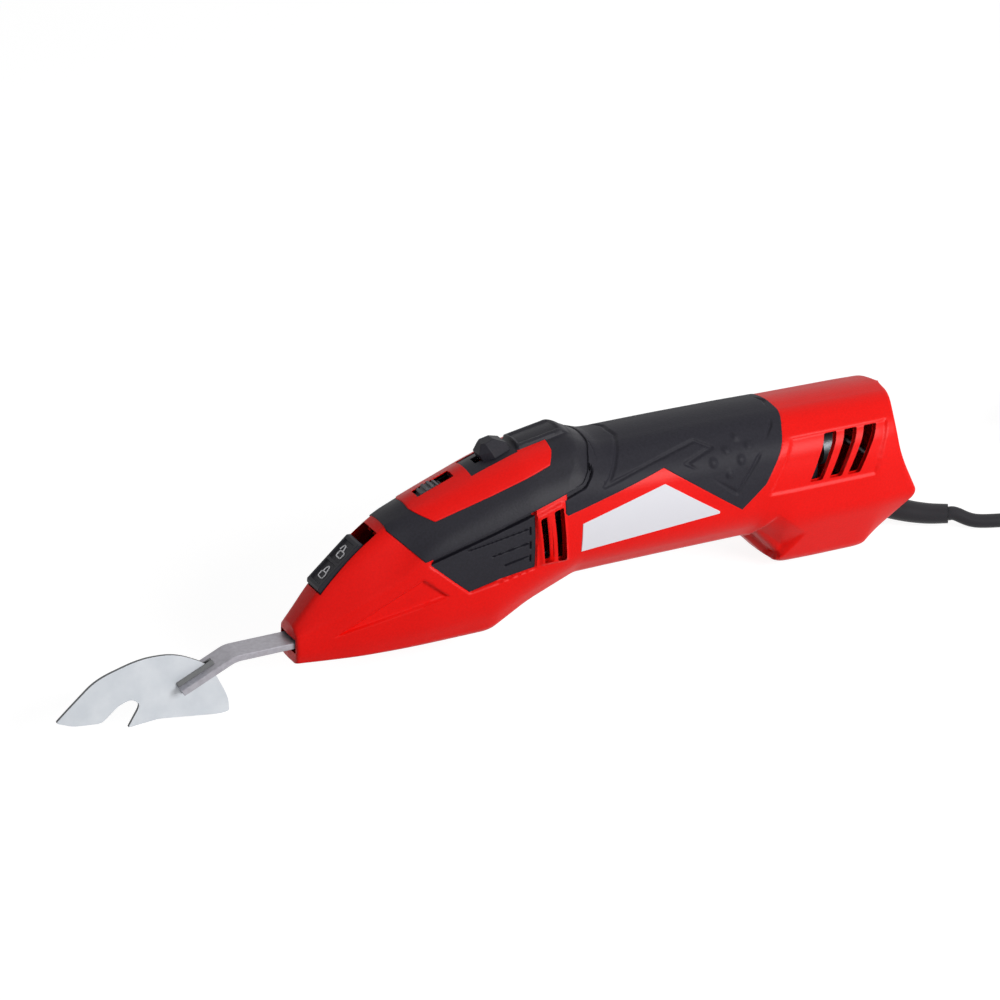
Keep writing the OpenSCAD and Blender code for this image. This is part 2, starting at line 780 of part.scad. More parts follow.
// least gap between points of the coil that lie more than a third of a turn apart
coil_least = min(
    [
        for (i = [0:len(coil_route) - 1])
            for (j = [i + coil_rings / 3:len(coil_route) - 1])
                norm(coil_route[i] - coil_route[j])
    ]
) - cord_wide;
echo(coil_least_gap = coil_least, pitch = seat_pitch, seat_x = seat_x, seat_z = seat_z);

lead_steps = [[-107, -17, 4], [-93, -25, 4], [-78, -32, 4], [-62, -38, 4], [-45, -43, 4], [-28, -46, 5]];
tail_steps = [
    [16, -42, 13], [26, -38, 14], [34, -31, 15], [40, -22, 16], [43, -12, 18], [43, -1, 20], [41, 9, 21],
    [37, 18, 22], [31, 26, 22], [22, 31, 22]
];
plug_step = [12, 32];
function from_coil(steps) = [for (p = steps) [coil_spot[0], coil_spot[1], 0] + p];
relief_way = unit(relief_tip - seated(relief_route[relief_last - 1]));
lead_route = concat([relief_tip, relief_tip + cord_r * relief_way], from_coil(lead_steps), [coil_start]);
plug_spot = coil_spot + plug_step;
plug_z = coil_z2 + cord_r + plug_high / 2 + seat_gap;
tail_route = concat([coil_end], from_coil(tail_steps), [[plug_spot[0], plug_spot[1], plug_z]]);
cord_sides = 10;
coil_sides = 6;

// housing halves, drawn for the right side
module housing_half() {
    difference() {
        union() {
            difference() {
                half_solid(outer_grid);
                translate([0, -over, 0])
                    half_solid(hollow_grid);
            }
            inner_ribs();
        }
        region(grip_xs, grip_pocket_high, lowered(grip_low), -wall, grip_deep + seat_gap);
        wide_region(cap_xs, crest, lowered(cap_low), -wall, cap_deep + seat_gap);
        region(pad_xs, pad_pocket_high, lowered(pad_low), -wall, pad_drop + pad_deep + seat_gap);
        vents();
        block(
            [-over, holder_x + over],
            [-mouth_wide / 2, mouth_wide / 2],
            [shank_high - mouth_high / 2, shank_high + mouth_high / 2]
        );
        lock_cuts();
        knob_cuts();
        dial_window();
    }
}

module relief_hole() {
    tube(relief_route, [for (r = relief_radii) r + seat_gap], cord_sides);
}

screw_hole = screw_wide + 2 * seat_gap;
head_hole = screw_head + 2 * seat_gap;
head_y = 0.45 * half_wide;
screw_tip = -0.4 * half_wide;

module left_housing() {
    color(red)
        seat()
            difference() {
                mirrored()
                    housing_half();
                relief_hole();
                for (s = screw_spots)
                    rod_y([screw_tip - seat_gap, over], screw_hole, s[0], s[1]);
            }
}

module right_housing() {
    color(red)
        seat()
            difference() {
                housing_half();
                relief_hole();
                for (s = screw_spots) {
                    rod_y([-over, half_wide], screw_hole, s[0], s[1]);
                    rod_y([head_y - seat_gap, half_wide + over], head_hole, s[0], s[1]);
                }
            }
}

module housing_screws() {
    color(steel)
        seat()
            for (s = screw_spots) {
                rod_y([screw_tip, head_y], screw_wide, s[0], s[1]);
                rod_y([head_y, head_y + screw_wide], screw_head, s[0], s[1]);
            }
}

// front cap with the rail behind the switch knob and the lugs of the dial's axle
rail_x = knob_x + knob_long / 2 + play;
rail_end = 0.43 * body_len;
module rail() {
    low = section_at(rail_x)[0][2] - cap_deep / 2;
    high = section_at(rail_end)[0][2] - cap_deep / 2;
    slab(
        [
            [rail_x, low], [rail_end, high], [rail_end, high + cap_deep / 2],
            [rail_x + rail_high, low + cap_deep / 2 + rail_high],
            [rail_x, low + cap_deep / 2 + rail_high / 2]
        ],
        rail_wide
    );
}

lug_xs = [dial_x - lug_long / 2, dial_x + lug_long / 2];
lug_outline = concat(
    [for (x = lug_xs) [x, dial_z - axle_wide]],
    [for (i = [1, 0]) [lug_xs[i], section_at(lug_xs[i])[0][2] - lug_drop]]
);
module front_cap() {
    lug_in = dial_thick / 2 + lug_gap;
    color(dark)
        seat()
            difference() {
                union() {
                    difference() {
                        wide_region(cap_xs, crest, cap_low, 0, cap_deep);
                        wide_region(panel_xs, crest, panel_low, -over, panel_deep);
                    }
                    rail();
                    for (side = [-1, 1])
                        translate([0, side * (lug_in + lug_thick / 2), 0])
                            slab(lug_outline, lug_thick);
                }
                knob_cuts();
                dial_slot();
                rod_y([-lug_in - lug_thick - over, lug_in + lug_thick + over], axle_wide, dial_x, dial_z);
            }
}

module switch_panel() {
    color(red)
        seat()
            difference() {
                wide_region(panel_xs, crest, panel_low, 0, panel_deep);
                block([knob_x, rail_end], [-rail_wide / 2, rail_wide / 2], [0, 2 * body_high]);
                knob_bed();
                dial_slot();
            }
}

// soft grips, lower pads and the label on the left side
module grip_half() {
    region(grip_xs, grip_high, grip_low, 0, grip_deep);
}

module pad_half() {
    region(pad_xs, pad_high, pad_low, pad_drop, pad_drop + pad_deep);
}

module left_grip() {
    color(dark)
        seat()
            mirrored()
                grip_half();
}

module right_grip() {
    color(dark)
        seat()
            grip_half();
}

module left_pad() {
    color(dark)
        seat()
            mirrored()
                pad_half();
}

module right_pad() {
    color(dark)
        seat()
            pad_half();
}

module label_plate() {
    color([0.9, 0.9, 0.92])
        seat()
            mirrored()
                region(label_xs, label_high, label_low, -label_deep - seat_gap, -seat_gap);
}

// blade lock: slider with two sunk fields and a rib between them, and its stem
field_sink = 0.8;
lock_rim = 1.6;
lock_chamfer = 1.2;
module lock_slider() {
    half = lock_long / 2;
    color(dark)
        seat()
            on_nose()
                difference() {
                    slab(
                        [
                            [-half, -lock_sink], [half, -lock_sink],
                            [half, lock_high - lock_sink - lock_chamfer],
                            [half - lock_chamfer, lock_high - lock_sink],
                            [lock_chamfer - half, lock_high - lock_sink],
                            [-half, lock_high - lock_sink - lock_chamfer]
                        ],
                        lock_wide
                    );
                    for (
                        x = [
                            [lock_rim - half + lock_chamfer, -lock_rim / 2],
                            [lock_rim / 2, half - lock_rim - lock_chamfer]
                        ]
                    )
                        block(
                            x,
                            [lock_rim - lock_wide / 2, lock_wide / 2 - lock_rim],
                            [lock_high - lock_sink - field_sink, lock_high]
                        );
                }
}

module lock_stem() {
    color(steel)
        seat()
            on_nose()
                block(
                    [-stem_long / 2, stem_long / 2],
                    [-stem_wide / 2, stem_wide / 2],
                    [-stem_deep, -lock_sink]
                );
}

// switch: knob with a steep front, the rod below it and the switch box it works
knob_shares = [[-0.5, -0.06], [0.5, -0.06], [0.5, 0.25], [0.16, 0.8], [-0.22, 1], [-0.38, 0.95], [-0.5, 0.5]];
module switch_knob() {
    color(dark)
        seat()
            on_cap()
                slab(part_of([knob_long, knob_high], knob_shares), knob_wide);
}

module switch_rod() {
    color(steel)
        seat()
            on_cap()
                block(
                    [-rod_long / 2, rod_long / 2],
                    [-rod_wide / 2, rod_wide / 2],
                    [-rod_deep, knob_shares[0][1] * knob_high]
                );
}

switch_x = 0.345 * body_len;
switch_long = 18;
switch_wide = 15;
switch_low = 0.7045 * body_high;
switch_high = 8;
tab_long = 5;
tab_thick = 0.8;
module power_switch() {
    color(dark)
        seat() {
            block(
                [switch_x, switch_x + switch_long],
                [-switch_wide / 2, switch_wide / 2],
                [switch_low, switch_low + switch_high]
            );
            for (side = [-1, 1])
                block(
                    [switch_x + switch_long, switch_x + switch_long + tab_long / 2],
                    [side * switch_wide / 4 - tab_thick, side * switch_wide / 4 + tab_thick],
                    [switch_low + tab_thick, switch_low + tab_long]
                );
        }
}

// speed dial with a notched rim
notches = 18;
notch_deep = 0.9;
notch_wide = 1.3;
module speed_dial() {
    color([0.35, 0.35, 0.37])
        seat()
            difference() {
                rod_y([-dial_thick / 2, dial_thick / 2], dial_wide, dial_x, dial_z);
                rod_y([-dial_thick, dial_thick], axle_wide + 2 * running_fit, dial_x, dial_z);
                for (i = [0:notches - 1])
                    translate([dial_x, 0, dial_z])
                        rotate([0, 360 / notches * i, 0])
                            block(
                                [-notch_wide / 2, notch_wide / 2],
                                [-dial_thick, dial_thick],
                                [dial_wide / 2 - notch_deep, dial_wide]
                            );
            }
}

module dial_axle() {
    axle_end = dial_thick / 2 + lug_gap + lug_thick;
    color(steel)
        seat()
            rod_y([-axle_end, axle_end], axle_wide, dial_x, dial_z);
}

// control board in the foot, with a capacitor and a choke
board_x = 0.76 * body_len;
board_long = 26;
board_wide = 27.4;
board_thick = 1.6;
board_z = 0.13 * body_high;
can_wide = 8;
can_long = 16;
choke_side = 9;
module control_board() {
    color([0.1, 0.35, 0.2])
        seat() {
            block(
                [board_x, board_x + board_long],
                [-board_wide / 2, board_wide / 2],
                [board_z, board_z + board_thick]
            );
            rod_x(
                [board_x + tab_long, board_x + tab_long + can_long],
                can_wide,
                board_z + board_thick + can_wide / 2 - tab_thick / 2,
                can_wide / 2
            );
            block(
                [board_x + tab_long, board_x + tab_long + choke_side],
                [-board_wide / 2 + tab_thick, -board_wide / 2 + tab_thick + choke_side],
                [board_z + board_thick, board_z + board_thick + choke_side]
            );
        }
}

// motor: field, brushes, bearings and everything on the shaft
shaft_x = [0.277 * body_len, 0.888 * body_len];
cam_x = 0.28 * body_len;
front_ring_x = 0.323 * body_len;
fan_x = 0.413 * body_len;
winding_long = 9;
winding_wide = 26;
commutator_x = 0.777 * body_len;
bars = 16;
bar_gap = 0.5;
bar_deep = 1.2;
core_slots = 12;
slot_wide = 2.4;
slot_deep = 5;
pole_half_angle = 50;
coil_half_angle = 44;
coil_thick = 4;
coil_gap = 0.5;
coil_overhang = 6;

module ring_x(x, wide, hole) {
    difference() {
        rod_x(x, wide);
        rod_x([x[0] - over, x[1] + over], hole);
    }
}

// part of a ring round the motor axis, centred on the side direction given by the turn
module sector_x(x, inner, outer, half_angle, turn) {
    translate([x[0], 0, motor_high])
        rotate([0, 90, 0])
            rotate([0, 0, turn - half_angle])
                rotate_extrude(angle = 2 * half_angle)
                    translate([inner, 0])
                        square([outer - inner, x[1] - x[0]]);
}

module field_core() {
    bore = core_wide + 2 * air_gap;
    color([0.45, 0.46, 0.48])
        seat()
            difference() {
                ring_x([field_x, field_x + field_long], field_wide, bore);
                for (turn = [90, 270])
                    sector_x(
                        [field_x - over, field_x + field_long + over],
                        bore / 2 - over,
                        bore / 2 + coil_thick,
                        pole_half_angle,
                        turn
                    );
            }
}

module field_coils() {
    inner = core_wide / 2 + air_gap + coil_gap;
    color(copper)
        seat()
            for (turn = [90, 270])
                sector_x(
                    [field_x - coil_overhang, field_x + field_long + coil_overhang],
                    inner,
                    inner + coil_thick - 2 * coil_gap,
                    coil_half_angle,
                    turn
                );
}

brush_x = commutator_x + commutator_long / 2;
brush_long = 8;
brush_wide = 8;
brush_thick = 6;
brush_gap = 0.4;
holder_wall = 1;
brush_stand = 1.5;
holder_start = commutator_wide / 2 + brush_stand;
holder_end = 0.78 * half_wide;
module brush_block(y, long, wide) {
    block(
        [brush_x - long / 2, brush_x + long / 2],
        y,
        [motor_high - wide / 2, motor_high + wide / 2]
    );
}

module both_sides() {
    children();
    mirrored()
        children();
}

module brush_holders() {
    color(brass)
        seat()
            both_sides()
                difference() {
                    brush_block(
                        [holder_start, holder_end],
                        brush_thick + 2 * holder_wall,
                        brush_wide + 2 * holder_wall
                    );
                    brush_block([holder_start - over, holder_end - holder_wall], brush_thick, brush_wide);
                }
}

module carbon_brushes() {
    start = commutator_wide / 2 + brush_gap;
    color([0.15, 0.15, 0.16])
        seat()
            both_sides()
                brush_block([start, start + brush_long], brush_thick, brush_wide);
}

// folded leaf springs behind the brushes
spring_legs = 3;
spring_reach = 4.4;
spring_thick = 0.5;
spring_high = 5;
module brush_springs() {
    start = commutator_wide / 2 + brush_gap + brush_long;
    rise = (holder_end - holder_wall - start - spring_thick) / spring_legs;
    color(steel)
        seat()
            both_sides()
                translate([brush_x, start, motor_high - spring_high / 2])
                    linear_extrude(spring_high)
                        for (i = [0:spring_legs - 1])
                            let (x = (i % 2 == 0 ? -1 : 1) * spring_reach / 2, y = i * rise)
                                polygon(
                                    [
                                        [x, y], [-x, y + rise],
                                        [-x, y + rise + spring_thick], [x, y + spring_thick]
                                    ]
                                );
}

module front_bearing() {
    color(steel)
        seat()
            ring_x([front_ring_x, front_ring_x + ring_long], front_ring_wide, shaft_wide + 2 * running_fit);
}

module rear_bearing() {
    color(steel)
        seat()
            ring_x([rear_ring_x, rear_ring_x + ring_long], rear_ring_wide, shaft_wide + 2 * running_fit);
}

module motor_shaft() {
    color(steel)
        seat()
            rod_x(shaft_x, shaft_wide);
}

module armature_core() {
    color([0.45, 0.46, 0.48])
        seat()
            difference() {
                ring_x([core_x, core_x + core_long], core_wide, shaft_wide);
                for (i = [0:core_slots - 1])
                    translate([0, 0, motor_high])
                        rotate([360 / core_slots * i, 0, 0])
                            block(
                                [core_x - over, core_x + core_long + over],
                                [-slot_wide / 2, slot_wide / 2],
                                [core_wide / 2 - slot_deep, core_wide]
                            );
            }
}

module armature_winding() {
    color(copper)
        seat()
            for (x = [core_x - winding_long, core_x + core_long])
                ring_x([x, x + winding_long], winding_wide, shaft_wide);
}

module commutator() {
    color(copper)
        seat()
            difference() {
                ring_x([commutator_x, commutator_x + commutator_long], commutator_wide, shaft_wide);
                for (i = [0:bars - 1])
                    translate([0, 0, motor_high])
                        rotate([360 / bars * i, 0, 0])
                            block(
                                [commutator_x - over, commutator_x + commutator_long + over],
                                [-bar_gap / 2, bar_gap / 2],
                                [commutator_wide / 2 - bar_deep, commutator_wide]
                            );
            }
}

fan_blades = 9;
fan_hub_wide = 16;
module cooling_fan() {
    color(dark)
        seat()
            difference() {
                union() {
                    rod_x([fan_x, fan_x + fan_long], fan_hub_wide);
                    rod_x([fan_x + fan_long - fan_thick, fan_x + fan_long], fan_wide);
                    for (i = [0:fan_blades - 1])
                        translate([0, 0, motor_high])
                            rotate([360 / fan_blades * i, 0, 0])
                                block(
                                    [fan_x + fan_thick, fan_x + fan_long - fan_thick / 2],
                                    [-fan_thick / 2, fan_thick / 2],
                                    [fan_hub_wide / 4, fan_wide / 2 - fan_thick]
                                );
                }
                rod_x([fan_x - over, fan_x + fan_long + over], shaft_wide);
            }
}

module eccentric() {
    color(steel)
        seat()
            difference() {
                rod_x([cam_x, cam_x + cam_ring_long + over], cam_wide, motor_high + throw);
                rod_x([cam_x - over, cam_x + cam_ring_long + 2 * over], shaft_wide);
            }
}

module eccentric_bearing() {
    color(steel)
        seat()
            difference() {
                rod_x([cam_x, cam_x + cam_ring_long], cam_ring_wide, motor_high + throw);
                rod_x([cam_x - over, cam_x + cam_ring_long + over], cam_wide, motor_high + throw);
            }
}

// rocking drive: frame with two cheeks, pivot pin, arm with a fork and the tool holder
pivot_x = 0.153 * body_len;
pivot_z = 0.19 * body_high;
bush_wide = 9;
hub_wide = 15;
hub_long = 15;
cheek_thick = 3;
cheek_play = 1.9;
cheek_gap = hub_long / 2 + cheek_play;
cheek_shares = [[0.128, 0.1], [0.18, 0.1], [0.33, 0.4], [0.33, 0.6], [0.18, 0.31], [0.128, 0.29]];
module drive_frame() {
    color([0.7, 0.71, 0.72])
        seat()
            difference() {
                union() {
                    block(
                        [plate_x, plate_x + plate_thick],
                        [-plate_wide / 2, plate_wide / 2],
                        [plate_low, plate_top]
                    );
                    both_sides()
                        translate([0, cheek_gap + cheek_thick / 2, 0])
                            slab(part_of(body_box, cheek_shares), cheek_thick);
                }
                rod_x([front_ring_x, plate_x + plate_thick + over], front_ring_wide);
                rod_x([plate_x - over, front_ring_x + over], shaft_wide + 2 * play + 2 * over);
                rod_y([-half_wide, half_wide], pivot_wide, pivot_x, pivot_z);
            }
}

module pivot_pin() {
    pin_end = cheek_gap + cheek_thick;
    color(steel)
        seat()
            rod_y([-pin_end, pin_end], pivot_wide, pivot_x, pivot_z);
}

module pivot_bushes() {
    color(brass)
        seat()
            both_sides()
                difference() {
                    rod_y([hub_long / 6, hub_long / 2], bush_wide, pivot_x, pivot_z);
                    rod_y([0, half_wide], pivot_wide + 2 * running_fit, pivot_x, pivot_z);
                }
}

fork_half = cam_ring_wide / 2 + fork_play;
lip_thick = 3;
lip_wide = 12;
web_thick = 4;
fork_back = 2;
fork_x = cam_x - web_thick - fork_back;
holder_x = 0.067 * body_len;
holder_end_x = 0.12 * body_len;
arm_shares = [[0.15, 0.12], [0.19, 0.18], [0.272, 0.43], [0.272, 0.55], [0.255, 0.55], [0.14, 0.26]];
neck_low = 0.09 * body_high;
neck_top = 0.17 * body_high;
module rocker_arm() {
    color([0.5, 0.51, 0.53])
        seat()
            difference() {
                union() {
                    rod_y([-hub_long / 2, hub_long / 2], hub_wide, pivot_x, pivot_z);
                    slab(part_of(body_box, arm_shares), arm_wide);
                    block([holder_end_x, pivot_x], [-arm_wide / 2, arm_wide / 2], [neck_low, neck_top]);
                    block(
                        [fork_x, fork_x + web_thick],
                        [-lip_wide / 2, lip_wide / 2],
                        [motor_high - fork_half - lip_thick, motor_high + fork_half + lip_thick]
                    );
                    for (z = [motor_high - fork_half - lip_thick, motor_high + fork_half])
                        block(
                            [fork_x, cam_x + cam_ring_long],
                            [-lip_wide / 2, lip_wide / 2],
                            [z, z + lip_thick]
                        );
                }
                rod_y([-half_wide, half_wide], pivot_wide + 2 * over, pivot_x, pivot_z);
                both_sides()
                    rod_y([hub_long / 6, half_wide], bush_wide, pivot_x, pivot_z);
            }
}

holder_low = 0.057 * body_high;
holder_top = 0.155 * body_high;
clamp_wide = 4;
clamp_head = 7;
clamp_x = (holder_x + holder_end_x) / 2;
module tool_holder() {
    color([0.5, 0.51, 0.53])
        seat()
            difference() {
                block(
                    [holder_x, holder_end_x],
                    [-holder_wide / 2, holder_wide / 2],
                    [holder_low, holder_top]
                );
                block(
                    [holder_x - over, shank_hold + play],
                    [-shank_wide / 2 - play, shank_wide / 2 + play],
                    [shank_high - shank_thick / 2 - play, shank_high + shank_thick / 2 + play]
                );
                translate([clamp_x, 0, shank_high])
                    cylinder(h = body_high, d = clamp_wide);
            }
}

module clamp_screw() {
    color(steel)
        seat()
            translate([clamp_x, 0, 0]) {
                translate([0, 0, shank_high + shank_thick / 2 + play])
                    cylinder(h = holder_top - shank_high - shank_thick / 2 - play, d = clamp_wide);
                translate([0, 0, holder_top])
                    cylinder(h = clamp_wide / 2, d = clamp_head);
            }
}

// blade: plate, shank and the welds between them
module blade_plate() {
    color([0.84, 0.85, 0.87])
        seat()
            difference() {
                slab(blade_loop, blade_thick);
                slab(shank_outline, shank_wide);
            }
}

module blade_shank() {
    color([0.6, 0.6, 0.63])
        seat()
            slab(shank_outline, shank_wide);
}

bead_start = 8;
module weld_beads() {
    color([0.7, 0.71, 0.73])
        seat()
            translate([shank_end[0], 0, shank_end[1]])
                rotate([0, -shank_bend, 0])
                    for (side = [-1, 1])
                        for (top = [-1, 1])
                            scale([1, side, top])
                                translate([0, blade_thick / 2, shank_thick / 2])
                                    rotate([90, 0, 90])
                                        linear_extrude(shank_tail - bead_start)
                                            polygon([[0, 0], [bead, 0], [0, bead]]);
}

// cord set
module strain_relief() {
    color(dark)
        seat()
            tube(relief_route, relief_radii, cord_sides);
}

clamp_long = 7;
clamp_span = 20;
clamp_low = relief_route[0][2];
clamp_high = 9;
strap_screw = 3;
strap_y = clamp_span / 2 - strap_screw / 2 - over / 2;
module cord_clamp() {
    color(dark)
        seat()
            difference() {
                block(
                    [clamp_x0, clamp_x0 + clamp_long],
                    [-clamp_span / 2, clamp_span / 2],
                    [clamp_low, clamp_low + clamp_high]
                );
                rod_x([clamp_x0 - over, clamp_x0 + clamp_long + over], relief_wide + seat_gap, clamp_low);
                for (side = [-1, 1])
                    translate([clamp_x0 + clamp_long / 2, side * strap_y, 0])
                        cylinder(h = body_high, d = strap_screw);
            }
}

module clamp_screws() {
    color(steel)
        seat()
            for (side = [-1, 1])
                translate([clamp_x0 + clamp_long / 2, side * strap_y, 0]) {
                    translate([0, 0, clamp_low - strap_screw])
                        cylinder(h = clamp_high + strap_screw, d = strap_screw);
                    translate([0, 0, clamp_low + clamp_high])
                        cylinder(h = strap_screw / 2, d = 2 * strap_screw);
                }
}

module cord_lead() {
    color(dark)
        tube(lead_route, steady(lead_route, cord_r), cord_sides);
}

module cord_coil() {
    color(dark)
        tube(coil_route, steady(coil_route, cord_r), coil_sides);
}

module cord_tail() {
    color(dark)
        tube(tail_route, steady(tail_route, cord_r), cord_sides);
}

// tie round the bundle of turns, on the far side of the coil
tie_inner = coil_reach - coil_step * (coil_in + 1) - cord_r;
tie_outer = coil_reach + cord_r + seat_gap;
tie_top = coil_z2 + cord_r + seat_gap;
module coil_tie() {
    color([0.3, 0.3, 0.3])
        translate([coil_spot[0], coil_spot[1] - tie_wide / 2, 0])
            difference() {
                block(
                    [-tie_outer - tie_thick, -tie_inner + tie_thick],
                    [0, tie_wide],
                    [0, tie_top + tie_thick]
                );
                block([-tie_outer, -tie_inner], [-over, tie_wide + over], [tie_thick, tie_top]);
            }
}

// plug: flat body with rounded sides, and two round pins
module plug_body() {
    color(dark)
        translate([plug_spot[0] - plug_long, plug_spot[1], plug_z])
            rotate([90, 0, 90])
                linear_extrude(plug_long) {
                    square([plug_wide - plug_high, plug_high], center = true);
                    for (side = [-1, 1])
                        translate([side * (plug_wide - plug_high) / 2, 0])
                            circle(d = plug_high);
                }
}

module plug_pins() {
    color(steel)
        for (side = [-1, 1])
            rod_x(
                [plug_spot[0] - plug_long - pin_long, plug_spot[0] - plug_long],
                pin_wide,
                plug_z,
                plug_spot[1] + side * pin_apart / 2
            );
}

left_housing();
right_housing();
front_cap();
switch_panel();
left_grip();
right_grip();
left_pad();
right_pad();
label_plate();
housing_screws();
lock_slider();
lock_stem();
switch_knob();
switch_rod();
power_switch();
speed_dial();
dial_axle();
control_board();
field_core();
field_coils();
brush_holders();
carbon_brushes();
brush_springs();
front_bearing();
rear_bearing();
motor_shaft();
armature_core();
armature_winding();
commutator();
cooling_fan();
eccentric();
eccentric_bearing();
drive_frame();
pivot_pin();
pivot_bushes();
rocker_arm();
tool_holder();
clamp_screw();
blade_plate();
blade_shank();
weld_beads();
strain_relief();
cord_clamp();
clamp_screws();
cord_lead();
cord_coil();
cord_tail();
coil_tie();
plug_body();
plug_pins();
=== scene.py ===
"""Looks of the corded power scraper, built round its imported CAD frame."""

import math

import bmesh
import bpy
import numpy as np
from mathutils import Matrix


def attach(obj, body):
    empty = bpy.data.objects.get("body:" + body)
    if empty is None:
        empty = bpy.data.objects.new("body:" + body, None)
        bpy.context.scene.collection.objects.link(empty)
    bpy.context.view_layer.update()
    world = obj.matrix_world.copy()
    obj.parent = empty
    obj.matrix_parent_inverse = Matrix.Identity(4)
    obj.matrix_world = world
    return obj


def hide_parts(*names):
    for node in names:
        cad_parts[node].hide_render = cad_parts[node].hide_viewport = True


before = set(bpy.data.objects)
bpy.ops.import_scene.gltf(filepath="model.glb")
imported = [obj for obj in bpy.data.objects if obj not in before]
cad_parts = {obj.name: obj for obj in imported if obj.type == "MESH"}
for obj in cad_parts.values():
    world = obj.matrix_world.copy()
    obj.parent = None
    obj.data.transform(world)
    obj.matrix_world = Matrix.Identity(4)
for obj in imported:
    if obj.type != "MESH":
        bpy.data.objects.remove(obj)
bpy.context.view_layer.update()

MM = 0.001
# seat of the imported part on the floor: its pitch about Y and its shift in mm
PITCH = math.radians(3.59231)
SEAT = np.array([-96.8141, 0.0, 15.6937])
MIRROR = np.array([1.0, -1.0, 1.0])


def seated(p):
    """Tool frame in mm to floor frame in m: a turn by the seat pitch about Y, then the seat's shift."""
    p = np.asarray(p, float)
    c, s = math.cos(PITCH), math.sin(PITCH)
    out = np.stack([p[..., 0] * c + p[..., 2] * s, p[..., 1], p[..., 2] * c - p[..., 0] * s], -1)
    return (out + SEAT) * MM


def turned(d):
    """A direction of the tool frame in the floor frame."""
    c, s = math.cos(PITCH), math.sin(PITCH)
    return np.array([d[0] * c + d[2] * s, d[1], d[2] * c - d[0] * s])


# camera: 27 degrees from the side view towards the blade, 24 above, level in the tool frame
TURN, RAISE, FAR = math.radians(-27), math.radians(24), 1500.0
AIM = np.array([100.0, 0.0, 53.0])
SENSOR, LENS_SHARE, PICTURE = 36.0, 3.525, 1000
RIGHT = np.array([math.cos(TURN), math.sin(TURN), 0])
UP = np.array([-math.sin(TURN) * math.sin(RAISE), math.cos(TURN) * math.sin(RAISE), math.cos(RAISE)])
BACK = np.array([math.sin(TURN) * math.cos(RAISE), -math.cos(TURN) * math.cos(RAISE), math.sin(RAISE)])
camera = bpy.data.objects.new("camera", bpy.data.cameras.new("camera"))
bpy.context.scene.collection.objects.link(camera)
camera.data.sensor_width = SENSOR
camera.data.lens = SENSOR * LENS_SHARE
stand = Matrix([turned(RIGHT), turned(UP), turned(BACK)]).transposed().to_4x4()
stand.translation = seated(AIM + BACK * FAR)
camera.matrix_world = stand
bpy.context.scene.camera = camera


# materials: depth and detail of the grain, detail and soft limits of the blotches, colour sockets of a mix node
GRAIN_DEEP, GRAIN_DETAIL = 0.4, 3.0
BLOTCH_DETAIL, BLOTCH_FROM, BLOTCH_TO = 4.0, 0.35, 0.65
MIX_FIRST, MIX_SECOND, MIX_RESULT = 6, 7, 2


def srgb(code):
    """Hex colour to linear RGBA."""
    v = np.array([int(code[i:i + 2], 16) for i in (1, 3, 5)]) / 255
    v = np.where(v <= 0.04045, v / 12.92, ((v + 0.055) / 1.055) ** 2.4)
    return (*v.tolist(), 1.0)


def add(tree, kind, inputs=(), **fields):
    """One shader node with its fields set and its input sockets set or linked."""
    node = tree.nodes.new(kind)
    for k, v in fields.items():
        setattr(node, k, v)
    for k, v in dict(inputs).items():
        if isinstance(v, bpy.types.NodeSocket):
            tree.links.new(v, node.inputs[k])
        else:
            node.inputs[k].default_value = v
    return node


def material(name, code, rough, metal=0.0, gloss=0.4, grain=0.0, grain_mm=1.0, blotch_mm=0.0, second=None):
    """A surface with an optional fine grain (bump over noise of a size in mm) and an optional second colour in
    soft blotches of a size in mm."""
    m = bpy.data.materials.new(name)
    m.use_nodes = True
    m.diffuse_color = srgb(code)
    t = m.node_tree
    t.nodes.clear()
    shader = add(t, "ShaderNodeBsdfPrincipled", {"Base Color": srgb(code), "Roughness": rough, "Metallic": metal,
                                                 "Specular IOR Level": gloss})
    place = add(t, "ShaderNodeTexCoord").outputs["Object"]
    if grain:
        noise = add(t, "ShaderNodeTexNoise", {"Vector": place, "Scale": 1 / (grain_mm * MM), "Detail": GRAIN_DETAIL})
        bump = add(t, "ShaderNodeBump", {"Height": noise.outputs["Fac"], "Strength": grain,
                                         "Distance": GRAIN_DEEP * MM})
        t.links.new(bump.outputs["Normal"], shader.inputs["Normal"])
    if blotch_mm:
        noise = add(t, "ShaderNodeTexNoise", {"Vector": place, "Scale": 1 / (blotch_mm * MM),
                                              "Detail": BLOTCH_DETAIL})
        ramp = add(t, "ShaderNodeMapRange", {"Value": noise.outputs["Fac"], "From Min": BLOTCH_FROM,
                                             "From Max": BLOTCH_TO})
        mix = add(t, "ShaderNodeMix", {"Factor": ramp.outputs["Result"]}, data_type="RGBA")
        mix.inputs[MIX_FIRST].default_value = srgb(code)
        mix.inputs[MIX_SECOND].default_value = srgb(second)
        t.links.new(mix.outputs[MIX_RESULT], shader.inputs["Base Color"])
    out = add(t, "ShaderNodeOutputMaterial", {"Surface": shader.outputs["BSDF"]})
    out.is_active_output = True
    return m


# satin moulded shells: an even red with a fine spark-eroded grain, drawn coarser than life so that it shows
RED = material("red moulded plastic", "#EC0D06", 0.42, gloss=0.2, grain=0.16, grain_mm=0.7, blotch_mm=0.9,
               second="#E40B05")
# cap, pads, knob and slider: near black with a blue cast, dull, slightly grained
BLACK = material("black moulded plastic", "#17161D", 0.5, gloss=0.2, grain=0.16, grain_mm=0.8, blotch_mm=1.0,
                 second="#1D1C24")
# moulded-on grip: softer and duller than the hard plastic
SOFT = material("soft black rubber", "#18171F", 0.6, gloss=0.2, grain=0.22, grain_mm=1.0, blotch_mm=1.2,
                second="#1E1D25")
